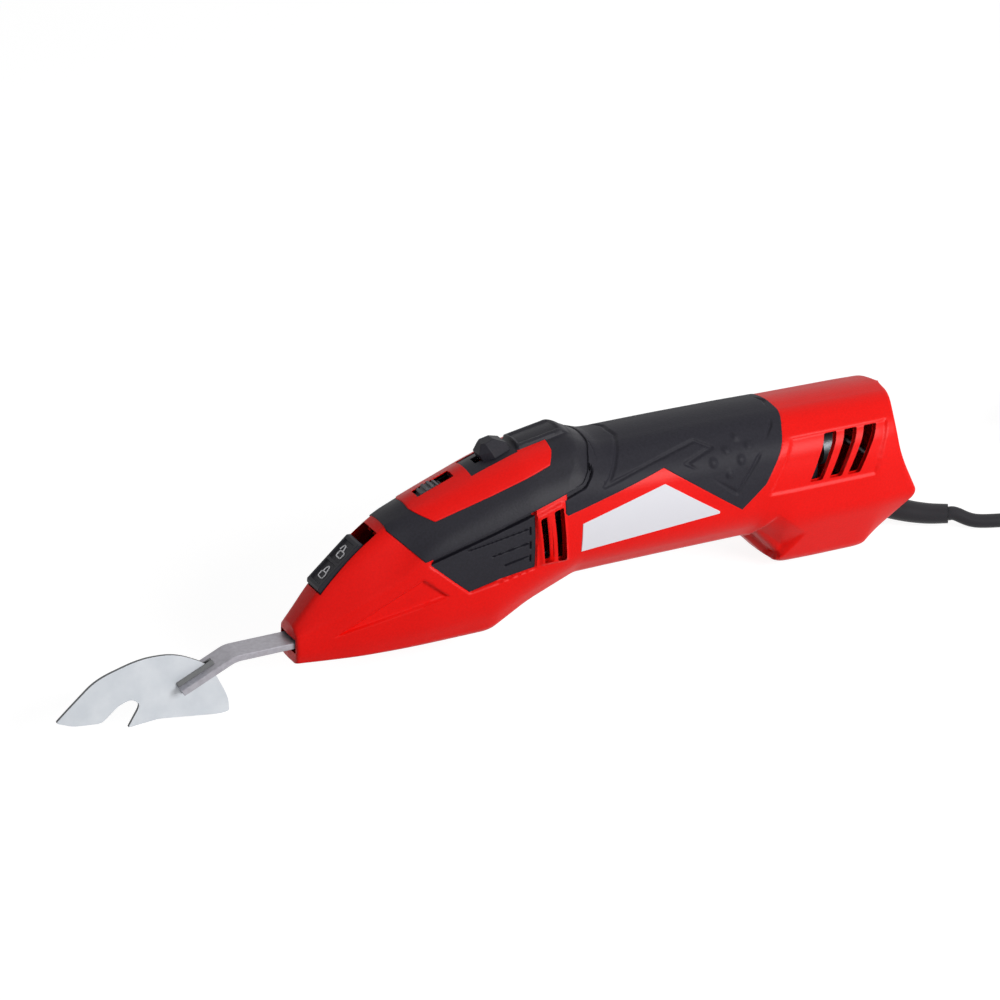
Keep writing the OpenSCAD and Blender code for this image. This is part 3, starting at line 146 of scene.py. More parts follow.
# label: smooth white film
FILM = material("white label film", "#DEDEE4", 0.35, gloss=0.3, grain=0.04, grain_mm=3.0)
# dial: dark grey, dull
GREY = material("grey moulded plastic", "#47474C", 0.5, grain=0.14, grain_mm=0.8)
# blade: bright zinc with pale cloudy patches left by the plating bath
ZINC = material("zinc plated steel", "#D6DADF", 0.42, 0.35, grain=0.1, grain_mm=2.4, blotch_mm=12.0, second="#CBD0D6")
# shank: plated bar, greyer than the blade, with the speckle of the rolled face
SHANK = material("plated bar steel", "#ABA9B0", 0.4, 0.5, grain=0.12, grain_mm=1.6, blotch_mm=1.8, second="#9F9CA3")
# weld beads: scaled grey metal
WELD = material("weld metal", "#6C6D6E", 0.55, 0.6, grain=0.4, grain_mm=2.5)
# cut rim of the blade: bare dark steel
EDGE = material("cut steel edge", "#5E6062", 0.5, 0.5, grain=0.1, grain_mm=1.5)
# cord: smooth black sheath with a weak sheen
SHEATH = material("black rubber sheath", "#1D1C21", 0.45, gloss=0.3, grain=0.08, grain_mm=1.4)
# plug pins: yellowish bright metal
BRASS = material("plated brass", "#CDBB86", 0.3, 1.0, grain=0.05, grain_mm=2.0)
# shafts, screws and bearings inside: dull grey metal, its colour darkened as painted shade of the body's dark inside,
# so that nothing glints through the vents
STEEL_IN_PAINTED_SHADE = material("turned steel", "#6C6F73", 0.42, 0.9, grain=0.15, grain_mm=2.0)
# brush springs: nearly black with a blue tinge
SPRING = material("blued spring steel", "#2C3037", 0.45, 0.8, grain=0.1, grain_mm=2.0)
# drive frame: pale rough casting with cloudy patches
CAST = material("die cast aluminium", "#8E9094", 0.55, 0.8, grain=0.3, grain_mm=2.8, blotch_mm=25.0, second="#7C7E82")
# bushes: brownish yellow, matt from its pores
BRONZE = material("sintered bronze", "#9C7440", 0.5, 0.8, grain=0.3, grain_mm=1.4)
# coils: dark reddish wire under varnish, rough from its turns
COPPER = material("enamelled copper wire", "#9A4E25", 0.4, 0.6, grain=0.5, grain_mm=1.6)
# brushes: dead black
CARBON = material("pressed carbon", "#1B1B1C", 0.8, grain=0.3, grain_mm=1.2)
# control board: dark green, slightly mottled
BOARD = material("green resin board", "#1D4A2A", 0.5, grain=0.05, grain_mm=1.0, blotch_mm=8.0, second="#245A33")
# lock marks: flat white print
ICON = material("white print", "#EEEEF2", 0.5, grain=0.05, grain_mm=1.0)

# every CAD node takes the look of its slot
SLOT_LOOKS = {"steel": STEEL_IN_PAINTED_SHADE, "cast_frame": CAST, "bronze": BRONZE, "copper": COPPER, "carbon": CARBON,
              "board": BOARD, "black_plastic": BLACK, "grey_plastic": GREY, "red_plastic": RED, "soft_grip": SOFT,
              "label_film": FILM, "blade_steel": ZINC, "cord_rubber": SHEATH, "plated_pin": BRASS}
for name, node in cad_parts.items():
    look = SLOT_LOOKS[node.data.materials[0].name]
    node.data.materials[0] = SPRING if name == "brush_springs" else look


# mesh building: points closer than this many metres are one, in drawn meshes and in copies of CAD nodes
SAME_POINT, NO_EDGE, SAME_CAD_POINT = 2e-7, 1e-7, 2e-6


def make(name, verts, faces, mat, body="tool", replaces=(), smooth=True, slot=None, angle=40.0):
    """A mesh object from points in m and faces; edges sharper than the angle stay sharp."""
    mesh = bpy.data.meshes.new(name)
    mesh.from_pydata(np.asarray(verts, float).reshape(-1, 3).tolist(), [], [list(map(int, f)) for f in faces])
    bm = bmesh.new()
    bm.from_mesh(mesh)
    bmesh.ops.remove_doubles(bm, verts=bm.verts, dist=SAME_POINT)
    bmesh.ops.dissolve_degenerate(bm, edges=bm.edges, dist=NO_EDGE)
    bmesh.ops.recalc_face_normals(bm, faces=bm.faces)
    bm.to_mesh(mesh)
    bm.free()
    if smooth:
        mesh.shade_smooth()
        mesh.set_sharp_from_angle(angle=math.radians(angle))
    mesh.materials.append(mat)
    obj = bpy.data.objects.new(name, mesh)
    bpy.context.scene.collection.objects.link(obj)
    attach(obj, body)
    if replaces:
        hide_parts(*replaces)
    return obj


def grid_faces(n, m, start=0, wrap=False):
    """Quads over n rows of m points; wrap joins the last column to the first."""
    i, j = np.meshgrid(np.arange(n - 1), np.arange(m if wrap else m - 1), indexing="ij")
    k = (j + 1) % m
    return (np.stack([i * m + j, (i + 1) * m + j, (i + 1) * m + k, i * m + k], -1) + start).reshape(-1, 4).tolist()


def border(n, m):
    """Numbers of the points round the border of a grid of n rows of m points, in order."""
    return np.concatenate([np.arange(m - 1), np.arange(n - 1) * m + m - 1,
                           (n - 1) * m + np.arange(m - 1, 0, -1), np.arange(n - 1, 0, -1) * m])


def closed(out, inn):
    """Points and faces of the solid between two grids of the same size."""
    n, m = out.shape[:2]
    count = n * m
    edge = border(n, m)
    nxt = np.roll(edge, -1)
    rim = np.stack([edge, nxt, nxt + count, edge + count], -1).tolist()
    verts = np.concatenate([out.reshape(-1, 3), inn.reshape(-1, 3)])
    return verts, grid_faces(n, m) + grid_faces(n, m, count) + rim


def smooth_line(points, steps):
    """Curve through the points, a cubic between each two that leaves both along the line of their neighbours."""
    p = np.asarray(points, float)
    p = np.concatenate([2 * p[:1] - p[1:2], p, 2 * p[-1:] - p[-2:-1]])
    t = np.linspace(0, 1, steps, endpoint=False)[:, None]
    out = []
    for a, b, c, d in zip(p, p[1:], p[2:], p[3:]):
        out.append(0.5 * (2 * b + (c - a) * t + (2 * a - 5 * b + 4 * c - d) * t ** 2
                          + (3 * b - a - 3 * c + d) * t ** 3))
    return np.concatenate(out + [p[-2:-1]])


def tube(path, radii, sides):
    """Closed tube of the given radii round a path, its rings square to the path."""
    p = np.asarray(path, float)
    way = np.gradient(p, axis=0)
    way /= np.linalg.norm(way, axis=1)[:, None]
    side = np.cross(way, [0, 0, 1.0])
    side /= np.linalg.norm(side, axis=1)[:, None]
    up = np.cross(side, way)
    a = np.linspace(0, 2 * math.pi, sides, endpoint=False)
    r = np.broadcast_to(np.asarray(radii, float), (len(p),))[:, None, None]
    ring = p[:, None] + r * (np.cos(a)[:, None] * side[:, None] + np.sin(a)[:, None] * up[:, None])
    n = len(p)
    caps = [list(range(sides - 1, -1, -1)), list(range((n - 1) * sides, n * sides))]
    return ring.reshape(-1, 3), grid_faces(n, sides, wrap=True) + caps


# cord set: strain relief, one cord from its tip over the floor into the coil and up to the plug
ROUTE = [(265, 0, 20), (274, 0, 20), (281, 0, 18), (288, -2, 15), (295, -6, 12.5), (302, -11, 11), (309, -16, 10.5),
         (316, -21, 11)]
ROUTE_STEPS, RELIEF_SIDES, CORD_SIDES, TURN_STEPS = 6, 28, 14, 48
RELIEF_ROOT, RELIEF_TIP = 11.6, 8.8
relief_path = smooth_line(seated(np.array(ROUTE, float)), ROUTE_STEPS)
taper = np.linspace(0, 1, len(relief_path))
relief_r = (RELIEF_ROOT + (RELIEF_TIP - RELIEF_ROOT) * np.clip((taper - 2 / 7) / (5 / 7), 0, 1)) / 2 * MM
make("strain_relief_boot", *tube(relief_path, relief_r, RELIEF_SIDES), SHEATH, replaces=["strain_relief"],
     slot="cord_rubber")

TIP = seated(np.array(ROUTE[-1], float))
# cord radius, reach of the coil, step between turns, height of the first layer, turns in, up and out again
CORD_R, REACH, STEP, LIFT, IN, CLIMB, OUT = 3.2, 46.0, 7.0, 4.8, 3.5, 0.5, 3.0
SPOT = np.array([TIP[0] / MM + 116.5, -12.0, 0.0])
relief_way = TIP - seated(np.array(ROUTE[-2], float))
relief_way /= np.linalg.norm(relief_way)
turns = np.arange(0, (IN + CLIMB + OUT) * TURN_STEPS + 1) / TURN_STEPS
radius = np.where(turns < IN + CLIMB / 2, REACH - STEP * turns, REACH - STEP * (2 * IN + CLIMB - turns))
rise = LIFT + STEP * (1 - np.cos(math.pi * np.clip((turns - IN) / CLIMB, 0, 1))) / 2
angle = 2 * math.pi * turns - math.pi / 2
coil = np.stack([SPOT[0] + radius * np.cos(angle), SPOT[1] + radius * np.sin(angle), rise], -1)
lead = SPOT + [(-107, -17, 4), (-93, -25, 4), (-78, -32, 4), (-62, -38, 4), (-45, -43, 4), (-28, -46, 5)]
tail = SPOT + [(16, -42, 13), (26, -38, 14), (34, -31, 15), (40, -22, 16), (43, -12, 18), (43, -1, 20), (41, 9, 21),
               (37, 18, 22), (31, 26, 22), (22, 31, 22), (12, 32, 22.2)]
before_coil = [coil[0] - [2 * CORD_R, 0, 0]]
after_coil = [coil[-1] + [2 * CORD_R, 0, 0]]
lead_way = np.concatenate([[TIP / MM, TIP / MM + CORD_R * relief_way], lead, before_coil, coil[:1]])
tail_way = np.concatenate([coil[-1:], after_coil, tail])
cord_path = np.concatenate([smooth_line(lead_way, ROUTE_STEPS)[:-1], coil, smooth_line(tail_way, ROUTE_STEPS)[1:]]) * MM
cord = make("power_cord", *tube(cord_path, CORD_R * MM, CORD_SIDES), SHEATH,
            replaces=["cord_lead", "cord_coil", "cord_tail"], slot="cord_rubber")


# angles of copies of CAD nodes: faces merged below, shading split above, edges rounded above
FLAT, SHARP, ROUNDED = math.radians(0.5), math.radians(28), math.radians(30)


def softened(node, mat, width, body="tool"):
    """A merged copy of a CAD node with its edges rounded by a bevel of the width in mm."""
    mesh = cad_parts[node].data.copy()
    mesh.materials.clear()
    bm = bmesh.new()
    bm.from_mesh(mesh)
    bmesh.ops.remove_doubles(bm, verts=bm.verts, dist=SAME_CAD_POINT)
    bmesh.ops.dissolve_limit(bm, angle_limit=FLAT, verts=bm.verts, edges=bm.edges)
    bmesh.ops.recalc_face_normals(bm, faces=bm.faces)
    bm.to_mesh(mesh)
    bm.free()
    mesh.shade_smooth()
    mesh.set_sharp_from_angle(angle=SHARP)
    mesh.materials.append(mat)
    obj = bpy.data.objects.new(node + "_finish", mesh)
    bpy.context.scene.collection.objects.link(obj)
    mod = obj.modifiers.new("rounding", "BEVEL")
    mod.width = width * MM
    mod.segments = 3
    mod.limit_method = "ANGLE"
    mod.angle_limit = ROUNDED
    mod.harden_normals = True
    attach(obj, body)
    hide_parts(node)
    return obj


plug = softened("plug_body", BLACK, 2.0)
pins = softened("plug_pins", BRASS, 0.6)
tie = softened("coil_tie", BLACK, 0.5)


# body surface: stations from nose to rear, each a half section of seven points from crest to underside. A row
# gives their shares of length, half width and height, and the share that the corner along the body takes up
LEN, HALF, HIGH = 300.0, 28.0, 84.0
NIL = [0] * 7
ROWS = [
    ([.002, .0015, .0005, 0, 0, .001, .002], NIL, [.2, .195, .155, .107, .054, .008, .006], 0),
    ([.002] * 7, [0, .16, .3, .32, .31, .26, 0], [.208, .202, .16, .107, .054, .006, .006], .25),
    ([.043] * 7, [0, .23, .4, .42, .41, .35, 0], [.385, .378, .215, .143, .071, .002, .002], .8),
    ([.093] * 7, [0, .28, .54, .56, .54, .46, 0], [.545, .537, .31, .19, .095, 0, 0], .8),
    ([.143] * 7, [0, .32, .65, .67, .65, .53, 0], [.668, .658, .4, .262, .119, .002, .001], .8),
    ([.193] * 7, [0, .36, .75, .79, .75, .59, 0], [.755, .715, .55, .333, .143, .007, .004], .7),
    ([.287] * 7, [0, .43, .85, .9, .84, .65, 0], [.88, .825, .665, .43, .18, .014, .008], .3),
    ([.347] * 7, [0, .46, .89, .94, .88, .62, 0], [.947, .89, .73, .5, .274, .13, .12], .4),
    ([.423] * 7, [0, .48, .91, .95, .88, .57, 0], [.992, .94, .77, .55, .357, .228, .206], .2),
    ([.477] * 7, [0, .48, .91, .95, .88, .57, 0], [.905, .88, .745, .56, .357, .23, .208], .3),
    ([.6] * 7, [0, .48, .91, .96, .88, .57, 0], [.905, .88, .745, .56, .357, .23, .208], .5),
    ([.713] * 7, [0, .48, .91, .96, .88, .57, 0], [.9, .875, .745, .56, .357, .228, .206], .3),
    ([.767] * 7, [0, .48, .92, .98, .93, .58, 0], [.895, .87, .745, .56, .31, .024, .016], .25),
    ([.913] * 7, [0, .48, .93, 1, .95, .58, 0], [.885, .862, .745, .56, .32, .02, .012], .3),
    ([.958, .956, .945, .955, .99, .937, .937], [0, .48, .89, .96, .91, .5, 0],
     [.88, .857, .745, .56, .32, .09, .084], .3),
    ([.964, .962, .952, .962, .995, .943, .943], NIL, [.875, .85, .745, .56, .31, .1, .094], 0)]
NET = np.stack([np.array([r[0] for r in ROWS]) * LEN, np.array([r[1] for r in ROWS]) * HALF,
                np.array([r[2] for r in ROWS]) * HIGH], -1)
ROUND = np.array([r[3] for r in ROWS], float)
# shares that the corners of a section take up: in the middle, at the nose and at the foot
SHARES = np.array([.9, .7, .75, .8, .8, .6, .8])
NOSE_SHARES = np.array([.9, .7, .22, .8, .8, .5, .8])
REAR_SHARES = np.array([.9, .7, .75, .8, .3, .35, .8])


def bend(a, b, c, s, d):
    """Quadratic corner at b over the share s of half of each side, at the offset d from b."""
    p, q = b + (a - b) * s / 2, b + (c - b) * s / 2
    t = (d + s / 2) / s
    return (1 - t) ** 2 * p + 2 * t * (1 - t) * b + t * t * q


def along(u):
    """Net columns at station u: straight between stations, a quadratic corner at each."""
    n = len(NET)
    k = np.clip(np.rint(u).astype(int), 1, n - 2)
    i = np.clip(np.floor(u).astype(int), 0, n - 2)
    s, d, f = (x[:, None, None] for x in (np.maximum(ROUND[k], 1e-9), u - k, u - i))
    return np.where(np.abs(d) < s / 2, bend(NET[k - 1], NET[k], NET[k + 1], s, d), NET[i] * (1 - f) + NET[i + 1] * f)


def skin(u, v):
    """Right half of the body in mm at station u (U,) and section place v (U, V): 0 crest, 6 underside. The edge
    of the nose's flanks and those of the foot are crisper than the same corners in between."""
    c = along(u)
    e = np.concatenate([c[:, 1:2] * MIRROR, c, c[:, 5:6] * MIRROR], 1)
    k = np.clip(np.rint(v).astype(int), 0, 6)
    i = np.clip(np.floor(v).astype(int), 0, 5)
    nose, rear = np.interp(u, [4.5, 6], [1, 0])[:, None], np.interp(u, [11.6, 12.4], [0, 1])[:, None]
    share = SHARES + nose * (NOSE_SHARES - SHARES) + rear * (REAR_SHARES - SHARES)
    s, d, f = np.take_along_axis(share, k, 1)[..., None], (v - k)[..., None], (v - i)[..., None]

    def take(j):
        """The section points of the numbers given."""
        return np.take_along_axis(e, (j + 1)[..., None].repeat(3, -1), 1)

    corner, straight = bend(take(k - 1), take(k), take(k + 1), s, d), take(i) * (1 - f) + take(i + 1) * f
    return np.where(np.abs(d) < s / 2, corner, straight)


STATIONS = np.linspace(0, len(NET) - 1, 6001)
STATION_X = along(STATIONS)[:, 3, 0]


def normals(g):
    """Outward unit normals of a grid of points of the right half, from its two tangents."""
    a = np.gradient(g, axis=0)
    b = np.gradient(g, axis=1)
    n = np.cross(a, b)
    n /= np.maximum(np.linalg.norm(n, axis=-1), 1e-9)[..., None]
    return n


def ease(t):
    """Smooth step from 0 to 1."""
    t = np.clip(t, 0, 1)
    return t * t * (3 - 2 * t)


def inside(p, outline):
    """Signed distance in mm of the points (..., 2) from a convex outline, positive inside."""
    o = np.asarray(outline, float)
    q = np.roll(o, -1, 0)
    w = q - o
    area = np.sum(o[:, 0] * q[:, 1] - q[:, 0] * o[:, 1])
    n = np.stack([-w[:, 1], w[:, 0]], -1) / np.linalg.norm(w, axis=1)[:, None] * np.sign(area)
    return np.min(np.einsum("...k,jk->...j", p, n) - np.sum(o * n, 1), -1)


def near(p, line):
    """Distance in mm of the points from a polyline."""
    best = np.full(p.shape[:-1], 1e9)
    for a, b in zip(np.asarray(line, float), np.asarray(line, float)[1:]):
        t = np.clip(((p - a) @ (b - a)) / ((b - a) @ (b - a)), 0, 1)
        best = np.minimum(best, np.linalg.norm(p - a - t[..., None] * (b - a), axis=-1))
    return best


# outlines of the laid-on pieces
def shares(points):
    """Points in mm from shares of the body's length and height."""
    return [(a * LEN, b * HIGH) for a, b in points]


CAP_LOW = shares([(.142, .64), (.183, .494), (.343, .675), (.387, .723), (.423, .768), (.437, .821), (.447, .89),
                  (.458, .925)])
PANEL_LOW = shares([(.18, .715), (.207, .669), (.383, .862), (.393, .917)])
PAD_HIGH = shares([(.19, .505), (.342, .678), (.347, .684)])
PAD_LOW = shares([(.19, .465), (.247, .292), (.293, .337), (.347, .367)])
GRIP_HIGH = shares([(.393, .737), (.423, .77), (.437, .823), (.447, .892), (.456, .92), (.457, 1.2), (.77, 1.2)])
GRIP_LOW = shares([(.393, .635), (.397, .619), (.555, .76), (.683, .444), (.72, .565), (.747, .738), (.763, .84),
                   (.77, .88)])
LABEL_HIGH = shares([(.42, .56), (.553, .684), (.645, .465)])
LABEL_LOW = shares([(.42, .402), (.645, .453)])
CAP_SIDE = shares([(.19, .505), (.342, .678), (.387, .723), (.423, .768), (.437, .821)])
CREST = [(0, 200), (300, 200)]


def under(p, high, low):
    """How far in mm a point lies inside the patch between two lines in x and z."""
    x, z = p[..., 0], p[..., 2]
    hi, lo = np.asarray(high, float), np.asarray(low, float)
    ends = np.minimum(x - lo[0, 0], lo[-1, 0] - x)
    return np.minimum(np.minimum(np.interp(x, *hi.T) - z, z - np.interp(x, *lo.T)), ends)


NOSE_PANEL = [(14.2, 11.1), (65.6, 24.2), (53.8, 34.1)]
VENT_FRAME = [(103.7, 54.9), (117, 59.4), (119.9, 30.8), (106.1, 31.2)]
REAR_PANEL = [(217.3, 41.1), (230.1, 65.5), (280.0, 65.4), (272.0, 41.3)]
PAD_BED = [(57, 45.5), (57, 39.8), (74.1, 24.3), (104.1, 30.6), (104.3, 61), (102.6, 60.5)]
# foot facet: a point on its edge and the direction of that edge
FOOT_X, FOOT_Z, FOOT_COS, FOOT_SIN = 224.2, 30.9, 0.775, 0.632


def relief_of(p):
    """Mouldings of the red shell in mm along its normal: nose panels sunk 1.5, vent frames raised 0.9, rear panels
    sunk 0.8, pad beds sunk 1.7 and 1 more under the cap, a foot facet that falls away by a quarter of the distance
    from its edge, and beds 1.2 deep for the grips and the cap. Each rim is a smooth step about 1 mm wide."""
    q = p[..., [0, 2]]
    side = ease((p[..., 1] - 6) / 4)
    h = -1.5 * ease(inside(q, NOSE_PANEL) / 1.2)
    h += 0.9 * ease(inside(q, VENT_FRAME) / 1.0)
    h -= 0.8 * ease(inside(q, REAR_PANEL) / 1.2)
    pad = inside(q, PAD_BED)
    h -= 1.7 * ease(pad / 0.9 + 0.3) + ease((pad - 0.5) / 0.9) * ease((3.4 - near(q, CAP_SIDE)) / 0.7)
    fall = (FOOT_X - p[..., 0]) * FOOT_SIN + (FOOT_Z - p[..., 2]) * FOOT_COS
    run = (p[..., 0] - FOOT_X) * FOOT_COS - (p[..., 2] - FOOT_Z) * FOOT_SIN
    h -= 0.24 * np.clip(fall, 0, 12) * ease((run + 1) / 1.5) * ease((20.5 - run) / 1.5)
    bed = np.maximum(under(p, np.array(GRIP_HIGH) + [0, 4], GRIP_LOW), under(p, CREST, CAP_LOW))
    return h * side - 1.2 * ease((bed - 0.6) / 1.0)


def outer(g):
    """The grid with its mouldings raised along the normals."""
    return g + relief_of(g)[..., None] * normals(g)


def rows_at(x):
    """Stations at the lengths x in mm, read off the middle of the side."""
    return np.interp(x, STATION_X, STATIONS)


def cut(obj, prisms):
    """Cuts closed prisms, given as rings of points in m, out of a mesh and keeps the result as its mesh."""
    verts, faces = [], []
    for a, b in prisms:
        n, k = len(a), len(verts)
        verts += [*a, *b]
        faces += [list(range(k, k + n)), list(range(k + 2 * n - 1, k + n - 1, -1))]
        faces += [[k + i, k + n + i, k + n + (i + 1) % n, k + (i + 1) % n] for i in range(n)]
    tool = make("cutter", verts, faces, obj.data.materials[0], smooth=False)
    mod = obj.modifiers.new("cut", "BOOLEAN")
    mod.object, mod.operation, mod.solver = tool, "DIFFERENCE", "EXACT"
    bpy.context.view_layer.update()
    done = bpy.data.meshes.new_from_object(obj.evaluated_get(bpy.context.evaluated_depsgraph_get()))
    obj.modifiers.clear()
    old, obj.data = obj.data, done
    bpy.data.meshes.remove(old)
    gone = tool.data
    bpy.data.objects.remove(tool)
    bpy.data.meshes.remove(gone)
    return obj


def box_prism(x, y, z, place):
    """Block over three ranges as two rings of points, put in place by a function."""
    lo, hi = ([(a, b, c) for a, b in ((x[0], y[0]), (x[1], y[0]), (x[1], y[1]), (x[0], y[1]))] for c in z)
    return place(np.array(lo, float)), place(np.array(hi, float))


def tilted(x, z, degrees):
    """Placing in a slide frame at (x, z) whose axis rises by the angle given."""
    c, s = math.cos(math.radians(degrees)), math.sin(math.radians(degrees))

    def place(p):
        """Points of the slide frame on the floor."""
        return seated(np.stack([x + p[..., 0] * c - p[..., 2] * s, p[..., 1], z + p[..., 0] * s + p[..., 2] * c], -1))

    return place


on_cap, on_nose = tilted(96.0, 76.1, 17.5), tilted(22.0, 40.3, 41.0)


# cuts through a side: their reach in y and the rounding of a slot's corners
CUT_NEAR, CUT_FAR, SLOT_ROUND = 12.0, 40.0, 0.9


def side_prism(outline, side):
    """Prism through one side of the body under an outline in x and z."""
    o = np.asarray(outline, float)
    return tuple(seated(np.stack([o[:, 0], np.full(len(o), side * y), o[:, 1]], -1)) for y in (CUT_NEAR, CUT_FAR))


def slot_outline(*corners):
    """Slot through four corners, each rounded."""
    o, r = np.array(corners, float), SLOT_ROUND
    out = []
    for i in range(4):
        p, q, s = o[i - 1], o[i], o[(i + 1) % 4]
        f, g = (q - p) / np.linalg.norm(q - p), (s - q) / np.linalg.norm(s - q)
        out += [bend(q - f * r * 2, q, q + g * r * 2, 1.0, t) for t in (-.5, -.25, 0, .25, .5)]
    return out


# red shells: fine outside, coarse inside, closed along the parting plane
FINE, COARSE, WALL_IN, LEAST_ROW = (432, 176), 4, 3.2, 9


def half_shell(name, node, sign):
    """Half body between its fine outer grid and a coarse inner grid 3.2 mm deeper, closed at the parting plane.
    The rows are shared out by the lengths between stations, a short one counting as 9 mm."""
    n, m = FINE[0] + 1, FINE[1] + 1
    spans = np.maximum(np.linalg.norm(np.diff(NET[:, 3], axis=0), axis=1), LEAST_ROW)
    weight = np.interp(STATIONS, np.arange(len(NET)), np.concatenate([[0], np.cumsum(spans)]))
    u = np.interp(np.linspace(0, weight[-1], n), weight, STATIONS)
    g = skin(u, np.broadcast_to(np.linspace(0, 6, m), (n, m)))
    out = outer(g)
    inn = g[::COARSE, ::COARSE] - WALL_IN * normals(g)[::COARSE, ::COARSE]
    for e in (out, inn):
        e[:, 0, 1] = e[:, -1, 1] = e[0, :, 1] = e[-1, :, 1] = 0
        e[..., 1] = np.maximum(e[..., 1], 0)
    inn[0, :, 0] += WALL_IN
    inn[-1, :, 0] -= WALL_IN
    ni, mi = inn.shape[:2]
    inn[0], inn[-1] = inn[0] * [1, 0, 1], inn[-1] * [1, 0, 1]
    count = n * m
    big, small = border(n, m), border(ni, mi) + count
    rim = [[*big[np.arange(i * COARSE, i * COARSE + COARSE + 1) % len(big)], small[(i + 1) % len(small)], small[i]]
           for i in range(len(small))]
    verts = np.concatenate([out.reshape(-1, 3), inn.reshape(-1, 3)]) * [1, sign, 1]
    return make(name, seated(verts), grid_faces(n, m) + grid_faces(ni, mi, count) + rim, RED,
                replaces=[node], slot="red_plastic", angle=50.0)


SIDE_SLOTS = [slot_outline((105.8, 53), (110.4, 54.4), (112.6, 32.4), (108, 32.3)),
              slot_outline((112.2, 55.4), (116.8, 56.6), (118.8, 31.7), (114.4, 32.2))]
REAR_SLOTS = [slot_outline((247.2, 64.1), (253.6, 64.1), (244.9, 44), (238.5, 44)),
              slot_outline((257.6, 64.1), (264, 64.1), (254.7, 44), (248.3, 44)),
              slot_outline((267.6, 64.1), (274, 64.1), (264, 44), (257.6, 44))]
MOUTH = box_prism((-5, 22), (-7.3, 7.3), (5.6, 12), seated)
LOCK_BED = box_prism((-14, 21), (-6.5, 6.5), (-2.7, 6), on_nose)
LOCK_HOLE = box_prism((12.8, 20), (-5.4, 5.4), (-8, 4), on_nose)
left_shell = half_shell("left_shell", "left_housing", -1)
right_shell = half_shell("right_shell", "right_housing", 1)
for obj, side in ((left_shell, -1), (right_shell, 1)):
    cut(obj, [side_prism(o, side) for o in SIDE_SLOTS + REAR_SLOTS])
    cut(obj, [MOUTH])
    cut(obj, [LOCK_BED])
    cut(obj, [LOCK_HOLE])


# pieces laid over the shells: patches between a high and a low line, with rounded rims
RIM_STEPS = np.array([0, 0.06, 0.16, 0.3, 0.5, 0.8])
# points along a measured section, and the length in mm below which a patch begins at the crest
SECTION, AT_CREST = 901, 0.01


def places(total, count):
    """Places from 0 to each total: close together at both ends, even between."""
    d = RIM_STEPS * np.minimum(1, np.asarray(total, float) / 3)[..., None]
    t = np.linspace(0, 1, count)
    mid = d[..., -1:] + t * (np.asarray(total)[..., None] - 2 * d[..., -1:])
    return np.concatenate([d[..., :-1], mid, np.asarray(total)[..., None] - d[..., -2::-1]], -1)


def patch(name, nodes, high, low, mat, slot, proud, sign=1, *, size, both=False, deep=1.0, rim=0.5, extra=None):
    """Closed piece on the body between two lines in x and z: skin(u, v) raised along the normal by
    proud - rim + sqrt(rim^2 - (rim - d)^2), d being the distance from its edge, down to a depth below."""
    hi, lo = np.asarray(high, float), np.asarray(low, float)
    x = lo[0, 0] + places(lo[-1, 0] - lo[0, 0], size[0])
    u = rows_at(x)
    fine = np.linspace(0, 6, SECTION)
    sec = skin(u, np.broadcast_to(fine, (len(x), SECTION)))
    arc = np.concatenate([np.zeros((len(x), 1)), np.cumsum(np.linalg.norm(np.diff(sec, axis=1), axis=2), 1)], 1)
    top, bottom = np.interp(x, *hi.T), np.interp(x, *lo.T)
    s0 = np.array([np.interp(-t, -np.minimum.accumulate(z), a) for t, z, a in zip(top, sec[..., 2], arc)])
    s1 = np.array([np.interp(-b, -np.minimum.accumulate(z), a) for b, z, a in zip(bottom, sec[..., 2], arc)])
    if both:
        s0 = np.zeros_like(s0)
    crest = s0 < AT_CREST
    s = s0[:, None] + places(s1 - s0, size[1])
    v = np.array([np.interp(q, a, fine) for q, a in zip(s, arc)])
    g = skin(u, v)
    upper = np.where(crest[:, None], 1e3, s - s0[:, None])
    d = np.minimum(np.minimum(upper, s1[:, None] - s), np.minimum(x - x[0], x[-1] - x)[:, None])
    d = np.clip(d, 0, rim)
    h = proud - rim + np.sqrt(np.maximum(rim ** 2 - (rim - d) ** 2, 0))
    nrm = normals(g)
    nrm[np.linalg.norm(nrm, axis=-1) < 0.5] = [0, 0, 1]
    if extra:
        h = h + extra(g) * ease(d / rim)
    out = g + h[..., None] * nrm
    inn = g - deep * nrm
    for e in (out, inn):
        e[..., 1] = np.maximum(e[..., 1], 0)
        e[:, 0, 1] = np.where(crest, 0, e[:, 0, 1])
    if both:
        out, inn = (np.concatenate([e[:, :0:-1] * MIRROR, e], 1) for e in (out, inn))
    verts, faces = closed(out * [1, sign, 1], inn * [1, sign, 1])
    return make(name, seated(verts), faces, mat, replaces=nodes, slot=slot, angle=55.0)


GROOVES = [[(151.3, 0, 75.5), (152, 5.5, 75.2), (148, 14.5, 72.4), (144.3, 19.8, 68.1), (140, 23.9, 63.7),
            (137.2, 25.1, 61.5)],
           [(137.2, 25.1, 61.5), (184.5, 17, 70.5), (191.5, 20.4, 67.3), (177.3, 23.6, 63.7), (201.5, 26.5, 46.4),
            (211.6, 25.5, 59.5), (223.1, 16.6, 70.4), (229.3, 0, 74.7)]]
BUMPS = [(190.2, 24.6, 61.9), (197.8, 22.4, 65.2), (197.8, 26.1, 55.9), (203.8, 25, 60.9), (208.8, 22.3, 65.4),
         (204.5, 18.5, 69)]
STRIPS = [[(74, 44), (101.6, 49.6), (101.6, 46.8)], [(84.5, 39.7), (101.6, 43.1), (101.6, 40.3)],
          [(90, 34.6), (101.6, 36.9), (101.6, 34.2)]]


